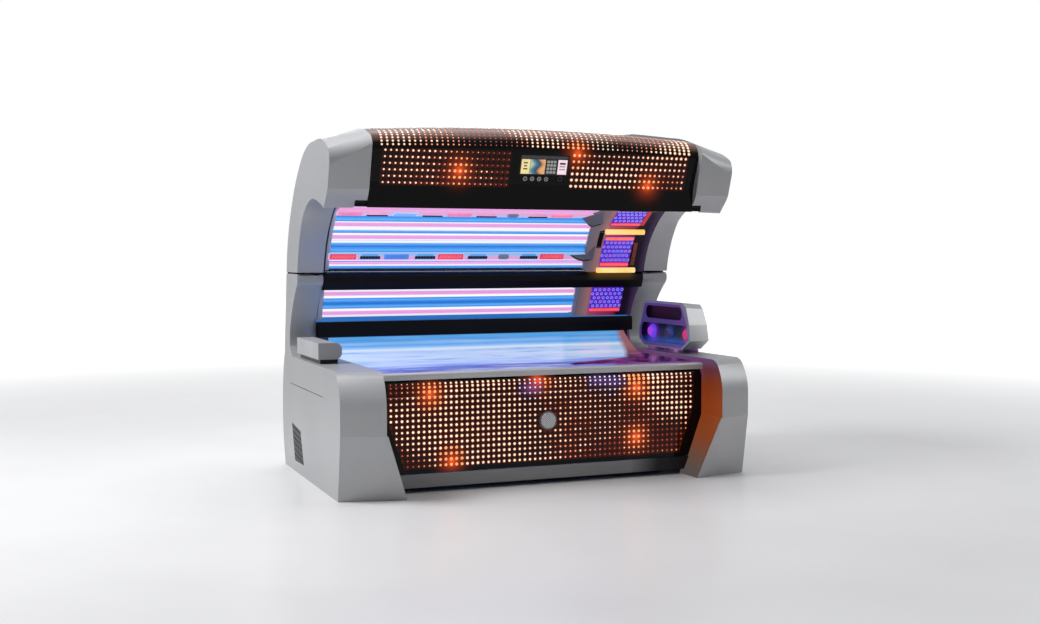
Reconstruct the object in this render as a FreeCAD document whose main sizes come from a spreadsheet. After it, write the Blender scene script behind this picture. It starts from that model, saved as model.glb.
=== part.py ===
import FreeCAD, Part
import Sketcher
import math
import os
from FreeCAD import Placement, Rotation, Vector

# A lie-down tanning bed standing with its canopy open, in millimetres.
# +X runs along the bed to the head end, -Y faces the user and +Z is up. The
# origin is on the floor, under the middle of the bed.

os.makedirs("parts", exist_ok=True)
doc = FreeCAD.newDocument("TanningBed")

# ---------------------------------------------------------------- sizes

SIZES = {
    # overall
    "overall_length": 2450,
    "front_reach": 764.5,
    "back_reach": 764.5,
    "casing_width": 225,
    "arm_width": 160,
    "wall": 5,
    "fit": 0.3,
    "running_fit": 0.05,
    # heights of the base
    "bed_height": 680,
    "split_height": 1175,
    "split_gap": 9,
    "kink_height": 350,
    "flare_width": 128,
    # canopy
    "canopy_rise": 820,
    "crown_rise": 36,
    "tunnel_centre_y": -242,
    "tunnel_centre_z": 1041,
    "tunnel_radius": 597,
    "canopy_hinge_y": 352,
    "canopy_hinge_z": 1150,
    "hinge_pin_radius": 9,
    "hinge_eye_wall": 5,
    "hinge_plate": 12,
    "shoulder_radius": 26,
    # lamps
    "lamp_radius": 19,
    "lamp_glass": 1.2,
    "acrylic_thickness": 5,
    "lamp_gap": 11,
    "reflector_gap": 6,
    "sheet_thickness": 2,
    "canopy_lamp_pitch": 4.2,
    "bed_lamp_pitch": 66,
    "face_light_run": 350,
    "bed_lamp_setback": 90,
    "face_bar_radius": 16.7,
    "face_panel_width": 205,
    # lying surface
    "bed_radius": 1000,
    "bed_centre_y": -106,
    "bed_centre_rise": 901,
    "bed_thickness": 8,
    # visor
    "glass_thickness": 4,
    "board_thickness": 3,
    "display_width": 330,
    # base front
    "panel_y": -541.5,
    "panel_low": 108,
    "panel_high": 612,
    "rail_height": 38,
    "kick_low": 28,
    "kick_high": 104,
    "cap_radius": 52.5,
    "cap_height": 360,
    # back wall
    "lower_bar_y": 498.5,
    "lower_bar_low": 789,
    "lower_bar_high": 880,
    "upper_bar_y": 348.5,
    "upper_bar_low": 1078,
    "bar_depth": 42,
    # frame
    "frame_tube": 50,
    "frame_wall": 3,
    "profile_wall": 3,
    "foot_height": 45,
    "foot_radius": 35,
    "post_width": 60,
    # head pod and foot rest
    "pod_rise": 20,
    "pod_width": 143,
    "nozzle_radius": 44,
    "nozzle_spacing": 229,
    "nozzle_bore": 20,
    "nozzle_y": 31,
    "nozzle_rise": 95,
    "rest_rise": 25,
    "rest_thickness": 92,
    "rest_corner": 37,
    # fans
    "fan_radius": 80,
    "fan_depth": 50,
    "fan_y": 345,
    "hub_radius": 28,
    "spindle_radius": 6,
    # grilles
    "slot_width": 9,
}


class Size:
    """A length that remembers the spreadsheet formula it comes from."""

    def __init__(self, value, formula):
        self.value = float(value)
        self.formula = formula

    def joined(self, other, sign, value):
        return Size(value, "(%s %s %s)" % (self.formula, sign, formula_of(other)))

    def __add__(self, other):
        return self.joined(other, "+", self.value + number(other))

    def __sub__(self, other):
        return self.joined(other, "-", self.value - number(other))

    def __mul__(self, other):
        return self.joined(other, "*", self.value * number(other))

    def __truediv__(self, other):
        return self.joined(other, "/", self.value / number(other))

    def __radd__(self, other):
        return constant(other) + self

    def __rsub__(self, other):
        return constant(other) - self

    def __rmul__(self, other):
        return constant(other) * self

    def __neg__(self):
        return Size(-self.value, "(-1 * %s)" % self.formula)


def constant(value):
    return Size(value, repr(float(value)))


def number(size):
    return size.value if isinstance(size, Size) else float(size)


def formula_of(size):
    return size.formula if isinstance(size, Size) else repr(float(size))


class Sheet:
    """The sizes as attributes, each bound to its spreadsheet cell."""

    def __init__(self, sizes):
        cells = doc.addObject("Spreadsheet::Sheet", "Sizes")
        for row, (name, value) in enumerate(sizes.items(), start=1):
            cells.set("A%d" % row, name)
            cells.set("B%d" % row, str(value))
            cells.setAlias("B%d" % row, name)
            setattr(self, name, Size(value, "Sizes." + name))


s = Sheet(SIZES)
doc.recompute()

# ---------------------------------------------------------------- tools

nodes = {}


def node(label, item):
    """Names a finished sub-part after its node."""
    item.Label = label
    nodes[label] = item
    return item


def bind(item, prop, size):
    item.setExpression(prop, formula_of(size))


def move(item, x=None, y=None, z=None):
    for axis, size in (("x", x), ("y", y), ("z", z)):
        if size is not None:
            bind(item, "Placement.Base." + axis, size)
    return item


def box(x, y, z):
    """A box between the low and high ends given along each axis."""
    solid = doc.addObject("Part::Box", "Block")
    for prop, (low, high) in zip(("Length", "Width", "Height"), (x, y, z)):
        bind(solid, prop, high - low if isinstance(high, Size) else constant(high) - low)
    return move(solid, x[0], y[0], z[0])


TURNS = {
    "x": Rotation(Vector(0, 1, 0), 90),
    "y": Rotation(Vector(1, 0, 0), -90),
    "z": Rotation(),
}


def cylinder(axis, radius, length, x, y, z):
    """A cylinder that starts at the point and runs along +axis."""
    solid = doc.addObject("Part::Cylinder", "Round")
    solid.Placement = Placement(Vector(), TURNS[axis])
    bind(solid, "Radius", radius)
    bind(solid, "Height", length)
    return move(solid, x, y, z)


def fuse(*items):
    joined = doc.addObject("Part::MultiFuse", "Fused")
    joined.Shapes = list(items)
    return joined


def group(*items):
    """Separate solids that share one node."""
    bundle = doc.addObject("Part::Compound", "Group")
    bundle.Links = list(items)
    return bundle


def cut(base, *tools):
    result = doc.addObject("Part::Cut", "Cut")
    result.Base = base
    result.Tool = tools[0] if len(tools) == 1 else fuse(*tools)
    return result


def common(*items):
    result = doc.addObject("Part::MultiCommon", "Common")
    result.Shapes = list(items)
    return result


def mirror(item):
    """The same piece on the other side of the bed's middle."""
    copy = doc.addObject("Part::Mirroring", "Mirrored")
    copy.Source = item
    copy.Normal = Vector(1, 0, 0)
    return copy


PLANES = {"yz": "YZ_Plane", "xz": "XZ_Plane", "xy": "XY_Plane"}


class Via(tuple):
    """The middle point of an arc in an outline."""


def via(u, v):
    return Via((u, v))


def flat(point):
    return Vector(number(point[0]), number(point[1]), 0)


def sketch(body, plane, offset, path):
    """A closed sketch of lines and three-point arcs, held by bound distances."""
    drawn = body.newObject("Sketcher::SketchObject", "Outline")
    origin = [p for p in body.Origin.OriginFeatures if p.Role == PLANES[plane]][0]
    drawn.AttachmentSupport = (origin, [""])
    drawn.MapMode = "FlatFace"
    bind(drawn, "AttachmentOffset.Base.z", offset)
    corners = [i for i, point in enumerate(path) if not isinstance(point, Via)]
    edges = []
    for first, second in zip(corners, corners[1:] + corners[:1]):
        middle = path[first + 1] if (first + 1) < len(path) else None
        start, end = path[first], path[second]
        if isinstance(middle, Via):
            # a sketch's arcs run anticlockwise, so the others are drawn from their end
            turn = (flat(middle) - flat(start)).cross(flat(end) - flat(middle)).z
            ends = (start, end) if turn > 0 else (end, start)
            edge = drawn.addGeometry(Part.Arc(flat(ends[0]), flat(middle), flat(ends[1])))
            begin = 1 if turn > 0 else 2
            edges.append((edge, begin, 3 - begin, start, middle))
        else:
            edge = drawn.addGeometry(Part.LineSegment(flat(start), flat(end)))
            edges.append((edge, 1, 2, start, None))
    for here, after in zip(edges, edges[1:] + edges[:1]):
        drawn.addConstraint(Sketcher.Constraint("Coincident", here[0], here[2], after[0], after[1]))
    for edge, begin, end, start, middle in edges:
        hold(drawn, edge, begin, start)
        if middle is not None:
            mark = drawn.addGeometry(Part.Point(flat(middle)), True)
            hold(drawn, mark, 1, middle)
            drawn.addConstraint(Sketcher.Constraint("PointOnObject", mark, 1, edge))
    return drawn


def hold(drawn, geometry, end, point):
    """Binds a point's two distances from the sketch's origin."""
    for kind, size in (("DistanceX", point[0]), ("DistanceY", point[1])):
        index = drawn.addConstraint(Sketcher.Constraint(kind, -1, 1, geometry, end, number(size)))
        bind(drawn, "Constraints[%d]" % index, size)


def prism(plane, offset, length, path):
    """A body padded from one outline; the plane's normal is the way it grows."""
    body = doc.addObject("PartDesign::Body", "Body")
    pad = body.newObject("PartDesign::Pad", "Pad")
    pad.Profile = sketch(body, plane, offset, path)
    bind(pad, "Length", length)
    body.Tip = pad
    return body


def add_loft(body, kind, plane, ends, ruled=True):
    """Adds or removes the loft through the outlines of one body, straight if ruled."""
    loft = body.newObject("PartDesign::%sLoft" % kind, "Loft")
    drawn = [sketch(body, plane, offset, path) for offset, path in ends]
    loft.Profile = drawn[0]
    loft.Sections = [(part, [""]) for part in drawn[1:]]
    loft.Ruled = ruled
    body.Tip = loft
    return body


def inset(path, depth):
    """The outline moved inwards by a depth; the path runs anticlockwise."""
    moved = []
    for i, point in enumerate(path):
        here = flat(point)
        ahead = flat(path[(i + 1) % len(path)]) - here
        behind = here - flat(path[i - 1])
        ahead.normalize()
        behind.normalize()
        across = Vector(-ahead.y - behind.y, ahead.x + behind.x, 0)
        reach = across * (1 / (1 + ahead.dot(behind)))
        shifted = (point[0] + depth * reach.x, point[1] + depth * reach.y)
        moved.append(Via(shifted) if isinstance(point, Via) else shifted)
    return moved


def strip(path, depth):
    """Outline of a sheet laid along an open path, to the left of its direction."""
    shifted = []
    for i, point in enumerate(path):
        here = flat(point)
        ahead = flat(path[min(i + 1, len(path) - 1)]) - here
        behind = here - flat(path[max(i - 1, 0)])
        ahead = ahead if ahead.Length > 0 else behind
        behind = behind if behind.Length > 0 else ahead
        ahead = ahead / ahead.Length
        behind = behind / behind.Length
        reach = Vector(-ahead.y - behind.y, ahead.x + behind.x, 0) / (1 + ahead.dot(behind))
        moved = (point[0] + depth * reach.x, point[1] + depth * reach.y)
        shifted.append(Via(moved) if isinstance(point, Via) else moved)
    return list(path) + shifted[::-1]


def on_tunnel(radius, degrees):
    """A point at a radius and an angle about the tunnel's centre line."""
    turn = math.radians(degrees)
    return (s.tunnel_centre_y + radius * math.cos(turn),
            s.tunnel_centre_z + radius * math.sin(turn))


def sector(low, high, start, end):
    """Outline of a ring sector about the tunnel's centre line."""
    middle = (start + end) / 2
    return [on_tunnel(high, start), via(*on_tunnel(high, middle)), on_tunnel(high, end),
            on_tunnel(low, end), via(*on_tunnel(low, middle)), on_tunnel(low, start)]


def lamp(length, x, y, z):
    """A sealed glass tube that runs along +X from the point."""
    return cut(cylinder("x", s.lamp_radius, length, x, y, z),
               cylinder("x", s.lamp_radius - s.lamp_glass, length - 4, x + 2, y, z))


def profile_tube(length, path):
    """A hollow bar along the bed, centred, from its outline seen from the head end."""
    return cut(prism("yz", -length / 2, length, path),
               prism("yz", -length / 2 - 1, length + 2, inset(path, s.profile_wall)))


# ---------------------------------------------------------------- shared places

half_length = s.overall_length / 2
casing_inner = half_length - s.casing_width
arm_inner = half_length - s.arm_width
front = -s.front_reach
back = s.back_reach
canopy_low = s.split_height + s.split_gap
canopy_high = canopy_low + s.canopy_rise
plate_in = arm_inner - 9
tunnel_end = plate_in - s.fit
lamp_head_end = casing_inner - s.face_light_run
pod_low = s.bed_height + s.pod_rise
nozzle_height = pod_low + s.nozzle_rise

acrylic_outer = s.tunnel_radius + s.acrylic_thickness
lamp_ring = acrylic_outer + s.lamp_gap + s.lamp_radius
reflector_ring = lamp_ring + s.lamp_radius + s.reflector_gap
arm_front = s.canopy_hinge_y - 33.5
trim_end = casing_inner - s.fit


# ---------------------------------------------------------------- base casings

def base_back():
    """Rear edge of the base casings, from the floor to the bed's height."""
    return [(back - 68, constant(0)), via(back, s.bed_height / 2), (back - 60, s.bed_height)]


def base_outer():
    return base_back() + [
        (front + 224.5, s.bed_height), via(front + 181, s.bed_height - 9),
        (front + 153, s.bed_height - 30), via(front + 103.3, s.bed_height - 108.7),
        (front + 86, s.bed_height - 200), (front + 86, s.kink_height), (front + 144, constant(0))]


def base_inner():
    return base_back() + [
        (front + 134.5, s.bed_height), via(front + 88, s.bed_height - 8),
        (front + 56, s.bed_height - 30), via(front + 14.3, s.bed_height - 110.5),
        (front, s.bed_height - 200), (front, s.kink_height), (front + 93, constant(0))]


def upright(shift, low_shift):
    """Outline of a rear upright; its front edge lies further back at the inside."""
    edge = arm_front + shift
    round_in = 0.293 * s.shoulder_radius
    return [
        (back - 62.5, s.bed_height - 20), (back - 82, s.bed_height + 117),
        (back - 141, s.split_height), (edge + s.shoulder_radius, s.split_height),
        via(edge + round_in, s.split_height - round_in),
        (edge, s.split_height - s.shoulder_radius), (edge, s.split_height - 45),
        (edge + 15, s.split_height - 66), via(edge + 121, s.split_height - 172),
        (arm_front + 202 + low_shift, s.split_height - 305),
        via(arm_front + 223 + low_shift / 2, s.bed_height + 115),
        (arm_front + 219, s.bed_height + 61), via(arm_front + 188, s.bed_height + 18),
        (arm_front + 104, s.bed_height), (arm_front + 104, s.bed_height - 20)]


def base_casing():
    body = doc.addObject("PartDesign::Body", "BaseCasing")
    ends = [(half_length, base_outer()), (casing_inner, base_inner())]
    add_loft(body, "Additive", "yz", ends)
    hollow = [(half_length - s.wall, inset(base_outer(), s.wall)),
              (casing_inner + s.wall, inset(base_inner(), s.wall))]
    add_loft(body, "Subtractive", "yz", hollow)
    tower = doc.addObject("PartDesign::Body", "Upright")
    ends = [(half_length, upright(0, 0)), (arm_inner, upright(26, 12))]
    add_loft(tower, "Additive", "yz", ends)
    hollow = [(half_length - s.wall, inset(upright(0, 0), s.wall)),
              (arm_inner + s.wall, inset(upright(26, 12), s.wall))]
    add_loft(tower, "Subtractive", "yz", hollow)
    shell = fuse(body, tower)
    # the two hollows join, and the casing is open at the foot, behind the front
    # panel, behind the back wall and round the canopy hinge
    inside = (arm_inner + s.wall, half_length - s.wall)
    floor_opening = box((casing_inner + s.wall, half_length - s.wall),
                        (front + 150, back - 76), (constant(-10), constant(20)))
    panel_opening = box((casing_inner - 5, casing_inner + s.wall + 5),
                        (s.panel_y + 60, back - 85), (constant(12), s.bed_height - 25))
    tower_foot = box(inside, (arm_front + 215, back - 75),
                     (s.bed_height - 30, s.bed_height + 30))
    wall_opening = box((arm_inner - 5, arm_inner + s.wall + 5), (back - 191, back - 130),
                       (s.bed_height + 30, s.split_height - 40))
    hinge_opening = box((arm_inner + 25, half_length - 15),
                        (s.canopy_hinge_y - 6, back - 165),
                        (s.split_height - s.wall - 4, s.split_height + 5))
    vent = prism("yz", half_length - s.wall - 5, s.wall + 10, grille_outline(0))
    return cut(shell, floor_opening, panel_opening, tower_foot, wall_opening,
               hinge_opening, vent)


def grille_outline(gap):
    """The slanted window of the side grille, with a gap all round inside it."""
    corners = [(420, 64), (500, 283), (268, 258), (182, 68)]
    corners = [(constant(y), constant(z)) for y, z in corners]
    return inset(corners, gap) if gap else corners


def flare_outline(share, shell=0):
    """Plan of the casing's spread foot at a share of the way up to its kink."""
    width = 8 + (s.flare_width - 8) * (1 - share)
    corner = front + 93 * (1 - share)
    tip = front + 62 * (1 - share)
    return [(casing_inner - shell, corner + shell), (casing_inner - shell, s.panel_y + 45 - shell),
            (casing_inner - width + shell, s.panel_y + 45 - shell),
            (casing_inner - width + shell, tip + shell)]


def foot_flare():
    """The casing's foot, spread inwards along the kick plate."""
    body = doc.addObject("PartDesign::Body", "FootFlare")
    add_loft(body, "Additive", "xy", [(constant(0), flare_outline(0)),
                                      (s.kink_height, flare_outline(1))])
    hollow = [(constant(0), flare_outline(0, s.wall)),
              (0.75 * s.kink_height, flare_outline(0.75, s.wall))]
    return add_loft(body, "Subtractive", "xy", hollow)


right_base = fuse(base_casing(), foot_flare())
node("right_base_casing", right_base)
node("left_base_casing", mirror(right_base))


def grille():
    """Slotted insert in the window of a side casing."""
    plate = prism("yz", half_length - s.wall, s.wall - 0.5, grille_outline(s.fit))
    slots = []
    rows, columns = 6, 5
    for row in range(rows):
        for column in range(columns):
            up = (row + 0.5) / rows
            along = (column + 0.5) / columns
            y = 190 + 80 * up + along * (238 - 6 * up)
            z = 62 + 196 * up + along * 24 - 8
            ends = [(y - 17, z), (y + 15, z + 2 + s.slot_width / 2),
                    (y + 17, z + 2 + 1.5 * s.slot_width), (y - 15, z + s.slot_width)]
            slots.append(prism("yz", half_length - s.wall - 1, s.wall + 2, ends))
    return cut(plate, *slots)


right_grille = grille()
node("side_grilles", group(right_grille, mirror(right_grille)))


# ---------------------------------------------------------------- frame and floor

rail_low = s.foot_height
rail_high = rail_low + s.frame_tube
side_rail = half_length - 45
rail_front = s.panel_y + 85
rail_back = back - 150
post_inner = half_length - 95
post_outer = post_inner + s.post_width
post_back = back - 155
post_front = post_back - s.frame_tube
eye_radius = s.hinge_pin_radius + s.hinge_eye_wall
plate_inner = half_length - 60
plate_outer = plate_inner + s.hinge_plate
ear_gap = 2


def ear(x):
    """A base ear, from the rear post to the eye on the canopy's hinge line."""
    hinge_y, hinge_z = s.canopy_hinge_y, s.canopy_hinge_z
    return prism("yz", x, s.hinge_plate, [
        (hinge_y, hinge_z - eye_radius), (post_front + 1, hinge_z - 150),
        (post_front + 1, hinge_z - 30), (hinge_y, hinge_z + eye_radius),
        via(hinge_y - eye_radius, hinge_z)])


def base_frame():
    rail = (rail_low, rail_high)
    tubes = [((-side_rail, side_rail), (y, y + s.frame_tube), rail)
             for y in (rail_front, rail_back - s.frame_tube)]
    plates = []
    for side in (-1, 1):
        for x in (side_rail - s.frame_tube / 2, casing_inner / 2):
            middle = side * x
            tubes.append(((middle - s.frame_tube / 2, middle + s.frame_tube / 2),
                          (rail_front + 1, rail_back - 1), rail))
        low = post_inner if side > 0 else -post_outer
        high = post_outer if side > 0 else -post_inner
        tubes.append(((low, high), (post_front, post_back),
                      (rail_high - 1, s.canopy_hinge_z - 30)))
        for x in (plate_inner - ear_gap - s.hinge_plate, plate_outer + ear_gap):
            plates.append(ear(x if side > 0 else -(x + s.hinge_plate)))
        # outriggers that meet the casing's outer wall
        reach = half_length - s.wall - s.fit
        ends = (side_rail - 1, reach) if side > 0 else (-reach, 1 - side_rail)
        for y in (-300, 60):
            plates.append(box(ends, (constant(y - 20), constant(y + 20)),
                              (rail_low + 5, rail_high - 5)))
    hollows = [box(*[(low + s.frame_wall, high - s.frame_wall) for low, high in tube])
               for tube in tubes]
    frame = fuse(*([box(*tube) for tube in tubes] + plates))
    bore = cylinder("x", s.hinge_pin_radius + s.running_fit, s.overall_length,
                    -half_length, s.canopy_hinge_y, s.canopy_hinge_z)
    return cut(frame, bore, *hollows)


node("base_frame", base_frame())

feet = []
for x in (-side_rail + s.foot_radius, constant(0), side_rail - s.foot_radius):
    for y in (rail_front + s.frame_tube / 2, rail_back - s.frame_tube / 2):
        pad = cylinder("z", s.foot_radius, constant(14), x, y, constant(0))
        stem = cylinder("z", s.foot_radius / 3, rail_low, x, y, constant(0))
        feet.append(fuse(pad, stem))
node("levelling_feet", group(*feet))

pan_edge = casing_inner - 12
pan_front = rail_front - 20
pan_top = rail_high + s.sheet_thickness
node("floor_pan", box((-pan_edge, pan_edge), (pan_front, rail_back), (rail_high, pan_top)))

# ---------------------------------------------------------------- lying surface

BED_START, BED_END = 246.5, 307.3
bed_centre = (s.bed_centre_y, s.bed_height + s.bed_centre_rise)
bed_under = s.bed_radius + s.bed_thickness
bed_lamp_ring = bed_under + s.lamp_gap + s.lamp_radius
bed_lamp_end = casing_inner - s.bed_lamp_setback
bed_reflector_ring = bed_lamp_ring + s.lamp_radius + s.reflector_gap


def on_bed(radius, degrees):
    turn = math.radians(degrees)
    return (bed_centre[0] + radius * math.cos(turn), bed_centre[1] + radius * math.sin(turn))


def trough(low, high, start, end):
    """Outline of a sheet that follows the lying surface."""
    middle = (start + end) / 2
    return [on_bed(high, start), via(*on_bed(high, middle)), on_bed(high, end),
            on_bed(low, end), via(*on_bed(low, middle)), on_bed(low, start)]


node("bed_acrylic", prism("yz", -trim_end, 2 * trim_end,
                          trough(s.bed_radius, bed_under, BED_START, BED_END)))
node("bed_reflector", prism("yz", -trim_end, 2 * trim_end,
                            trough(bed_reflector_ring, bed_reflector_ring + s.sheet_thickness,
                                   BED_START + 1, BED_END - 0.5)))


def bed_lamps():
    step = math.degrees(number(s.bed_lamp_pitch) / number(bed_lamp_ring))
    room = BED_END - BED_START - 4
    count = int(room / step) + 1
    first = BED_START + 2 + (room - (count - 1) * step) / 2
    tubes = []
    for i in range(count):
        y, z = on_bed(bed_lamp_ring, first + i * step)
        tubes.append(lamp(bed_lamp_end + casing_inner - 56, -casing_inner + 28, y, z))
    return group(*tubes)


node("bed_lamps", bed_lamps())


def holder(start, end, offset, length, ring, shape):
    """A strip across the ends of a bank of lamps, backed by their reflector."""
    high = ring + s.lamp_radius + s.reflector_gap - s.fit
    return prism("yz", offset, length, shape(ring - s.lamp_radius, high, start, end))


node("bed_lamp_holders", group(*[
    holder(BED_START + 1, BED_END - 1, x, constant(25), bed_lamp_ring, trough)
    for x in (-casing_inner + 3, bed_lamp_end - 28)]))


def bed_rib(x):
    """An upright plate that carries the lamp tray along its curved top edge."""
    top = bed_reflector_ring + s.sheet_thickness + s.fit
    start, end = BED_START + 3, BED_END - 4
    low_front, low_back = on_bed(top, start)[0], on_bed(top, end)[0]
    outline = [(low_back, pan_top), on_bed(top, end), via(*on_bed(top, (start + end) / 2)),
               on_bed(top, start), (low_front, pan_top)]
    plate = prism("yz", x, constant(5), outline)
    window = prism("yz", x - 1, constant(7), [
        (low_back - 60, pan_top + 60), (low_back - 60, pan_top + 260),
        (low_front + 60, pan_top + 260), (low_front + 60, pan_top + 60)])
    return cut(plate, window)


node("bed_ribs", group(*[bed_rib(x) for x in (-pan_edge + 5, -casing_inner / 3 - 5,
                                              casing_inner / 3, pan_edge - 10)]))

# ---------------------------------------------------------------- base front

glass_back = s.panel_y
glass_front = s.panel_y - s.glass_thickness
board_back = glass_back + 3 + s.board_thickness
panel_end = casing_inner - 12


def foot_edge(height):
    """Where the casing's spread foot ends inwards at a height above the floor."""
    return casing_inner - 8 - (s.flare_width - 8) * (1 - height / s.kink_height)


def front_outline(gap):
    """Front panel seen from the front, its lower corners cut by the casings' feet."""
    kink = panel_end - gap
    foot = foot_edge(s.panel_low) - 9 - gap
    return [(-foot, s.panel_low + gap), (foot, s.panel_low + gap), (kink, s.kink_height),
            (kink, s.panel_high - 45), (-kink, s.panel_high - 45), (-kink, s.kink_height)]


node("front_glass", fuse(
    prism("xz", -glass_back, s.glass_thickness, front_outline(0)),
    prism("yz", -panel_end, 2 * panel_end, strip([
        (glass_back, s.panel_high - 46), via(glass_back + 6, s.panel_high - 20),
        (glass_back + 24, s.panel_high)], s.glass_thickness))))
node("front_led_board", prism("xz", -board_back, s.board_thickness, front_outline(4)))
carrier_back = board_back + 10
posts = [prism("yz", constant(x - 15), constant(30), [
    (rail_front + 30, pan_top), (rail_front + 30, pan_top + 40), (carrier_back + 40, pan_top + 110),
    (carrier_back + 40, s.panel_high - 52), (carrier_back - 1, s.panel_high - 52),
    (carrier_back - 1, s.panel_low + 10), (carrier_back + 1, s.kick_high + 3),
    (s.panel_y + 50, s.kick_high + 3), (pan_front, pan_top)])
    for x in (-850, -425, 0, 425, 850)]
node("front_carrier", fuse(
    prism("xz", -carrier_back, 10 - s.fit, front_outline(8)), *posts))
rail_foot = s.panel_high + 3
rail_top = rail_foot + s.rail_height
node("front_rail", prism("yz", -trim_end, 2 * trim_end, [
    (glass_back + 32, rail_foot), (glass_back + 38, rail_top), (glass_back + 12, rail_top),
    via(glass_back + 3, rail_top - 5), (glass_back, rail_top - 16),
    (glass_back + 8, rail_foot)]))
kick_ends = [(foot_edge(z) - s.fit, z) for z in (s.kick_low, s.kick_high)]
node("kick_plate", common(
    prism("yz", -kick_ends[1][0], 2 * kick_ends[1][0], [
        (s.panel_y + 44, s.kick_low), (s.panel_y + 44, s.kick_high),
        (s.panel_y, s.kick_high), (s.panel_y + 10, s.kick_low)]),
    prism("xz", -(s.panel_y + 50), constant(70), [
        (-kick_ends[0][0], s.kick_low), kick_ends[0], kick_ends[1],
        (-kick_ends[1][0], s.kick_high)])))
cap_back = glass_front - s.fit
node("round_cap", fuse(
    cylinder("y", s.cap_radius, constant(5), constant(0), cap_back - 5, s.cap_height),
    cylinder("y", s.cap_radius - 6, constant(3), constant(0), cap_back - 8, s.cap_height)))

# ---------------------------------------------------------------- back wall

bar_end = arm_inner - s.fit
node("lower_bar", profile_tube(2 * bar_end, [
    (s.lower_bar_y + s.bar_depth, s.lower_bar_low), (s.lower_bar_y + s.bar_depth, s.lower_bar_high),
    (s.lower_bar_y + 4, s.lower_bar_high), (s.lower_bar_y, s.lower_bar_high - 30),
    (s.lower_bar_y, s.lower_bar_low + 4), (s.lower_bar_y + 4, s.lower_bar_low)]))
node("upper_bar", profile_tube(2 * bar_end, [
    (s.upper_bar_y + 90, s.upper_bar_low), (s.upper_bar_y + 90, s.split_height + 2),
    (s.upper_bar_y + 26, s.split_height + 2), via(s.upper_bar_y + 8, s.split_height - 8),
    (s.upper_bar_y, s.split_height - 30), (s.upper_bar_y, s.split_height - 50),
    (s.upper_bar_y + 20, s.upper_bar_low)]))

wall_low = (s.lower_bar_y + 9, s.lower_bar_high + s.fit)
wall_high = (s.upper_bar_y + 79, s.upper_bar_low - s.fit)
wall_run = (number(wall_high[0]) - number(wall_low[0]), number(wall_high[1]) - number(wall_low[1]))
wall_across = (wall_run[1] / math.hypot(*wall_run), -wall_run[0] / math.hypot(*wall_run))


def on_wall(share, depth):
    """A point up the back wall, at a depth behind its front face."""
    return (wall_low[0] + (wall_high[0] - wall_low[0]) * share + depth * wall_across[0],
            wall_low[1] + (wall_high[1] - wall_low[1]) * share + depth * wall_across[1])


def wall_sheet(x, length, near, far, low, high):
    """A flat piece along the back wall, between two depths and two shares of its height."""
    return prism("yz", x, length, [on_wall(low, far), on_wall(high, far),
                                   on_wall(high, near), on_wall(low, near)])


inside_end = arm_inner - 5
lamp_run = lamp_head_end + inside_end
wall_lamp_depth = s.acrylic_thickness + s.lamp_gap + s.lamp_radius
wall_reflector_depth = wall_lamp_depth + s.lamp_radius + s.reflector_gap
lamp_seat = constant(25)
node("back_wall_acrylic", wall_sheet(-inside_end, lamp_run, constant(0), s.acrylic_thickness,
                                     0, 0.98))
node("back_wall_reflector", wall_sheet(-bar_end, 2 * bar_end, wall_reflector_depth,
                                       wall_reflector_depth + s.sheet_thickness, -0.12, 1.12))
node("back_wall_lamps", group(*[
    lamp(lamp_run - 2 * lamp_seat, -inside_end + lamp_seat, *on_wall(share, wall_lamp_depth))
    for share in (0.206, 0.407, 0.608, 0.809)]))
node("back_wall_lamp_holders", group(*[
    wall_sheet(x, lamp_seat, s.acrylic_thickness + s.lamp_gap, wall_reflector_depth - s.fit,
               0.04, 0.96)
    for x in (-inside_end, lamp_head_end - lamp_seat)]))
housing_start = lamp_head_end + 2
node("back_wall_light_housing", wall_sheet(housing_start, inside_end - housing_start,
                                           constant(10), wall_reflector_depth - s.fit,
                                           0.02, 0.98))
node("back_wall_light_panel", wall_sheet(lamp_head_end + 91, s.face_panel_width + 20, constant(4),
                                         10 - s.fit, 0.16, 0.97))

# ---------------------------------------------------------------- rear covers

gland_place = (200 - casing_inner, constant(150))
gland_hole = cylinder("y", constant(16.3), constant(120), gland_place[0], back - 120, gland_place[1])
node("rear_cover", cut(prism("yz", -trim_end, 2 * trim_end, strip([
    (back - 66, constant(14)), via(back - 1, s.bed_height / 2), (back - 60.5, s.bed_height - 4)], 3)),
    gland_hole))
node("cable_gland", fuse(
    cylinder("y", constant(16), constant(66), gland_place[0], back - 74, gland_place[1]),
    cylinder("y", constant(22), constant(12), gland_place[0], back - 62, gland_place[1])))
node("upper_rear_cover", prism("yz", -bar_end, 2 * bar_end, strip([
    (back - 61.5, s.bed_height + 2), (back - 82, s.bed_height + 117),
    (back - 140.5, s.split_height - 4)], 3)))

# a rubber bar behind the hinge line closes the gap that the canopy leaves at the rear
seal_depth = (back - 163, back - 146)
seal_top = canopy_low - 0.5
seal_end = half_length - s.wall
node("gap_seal", fuse(
    box((-seal_end, seal_end), seal_depth, (s.split_height + s.fit, seal_top)),
    box((-bar_end, bar_end), seal_depth, (s.split_height - 15, seal_top))))

# ---------------------------------------------------------------- fans and electrics

fan_x = half_length - 113
fan_z = rail_high + s.fan_radius + 10
FAN_BLADES = 7


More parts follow.
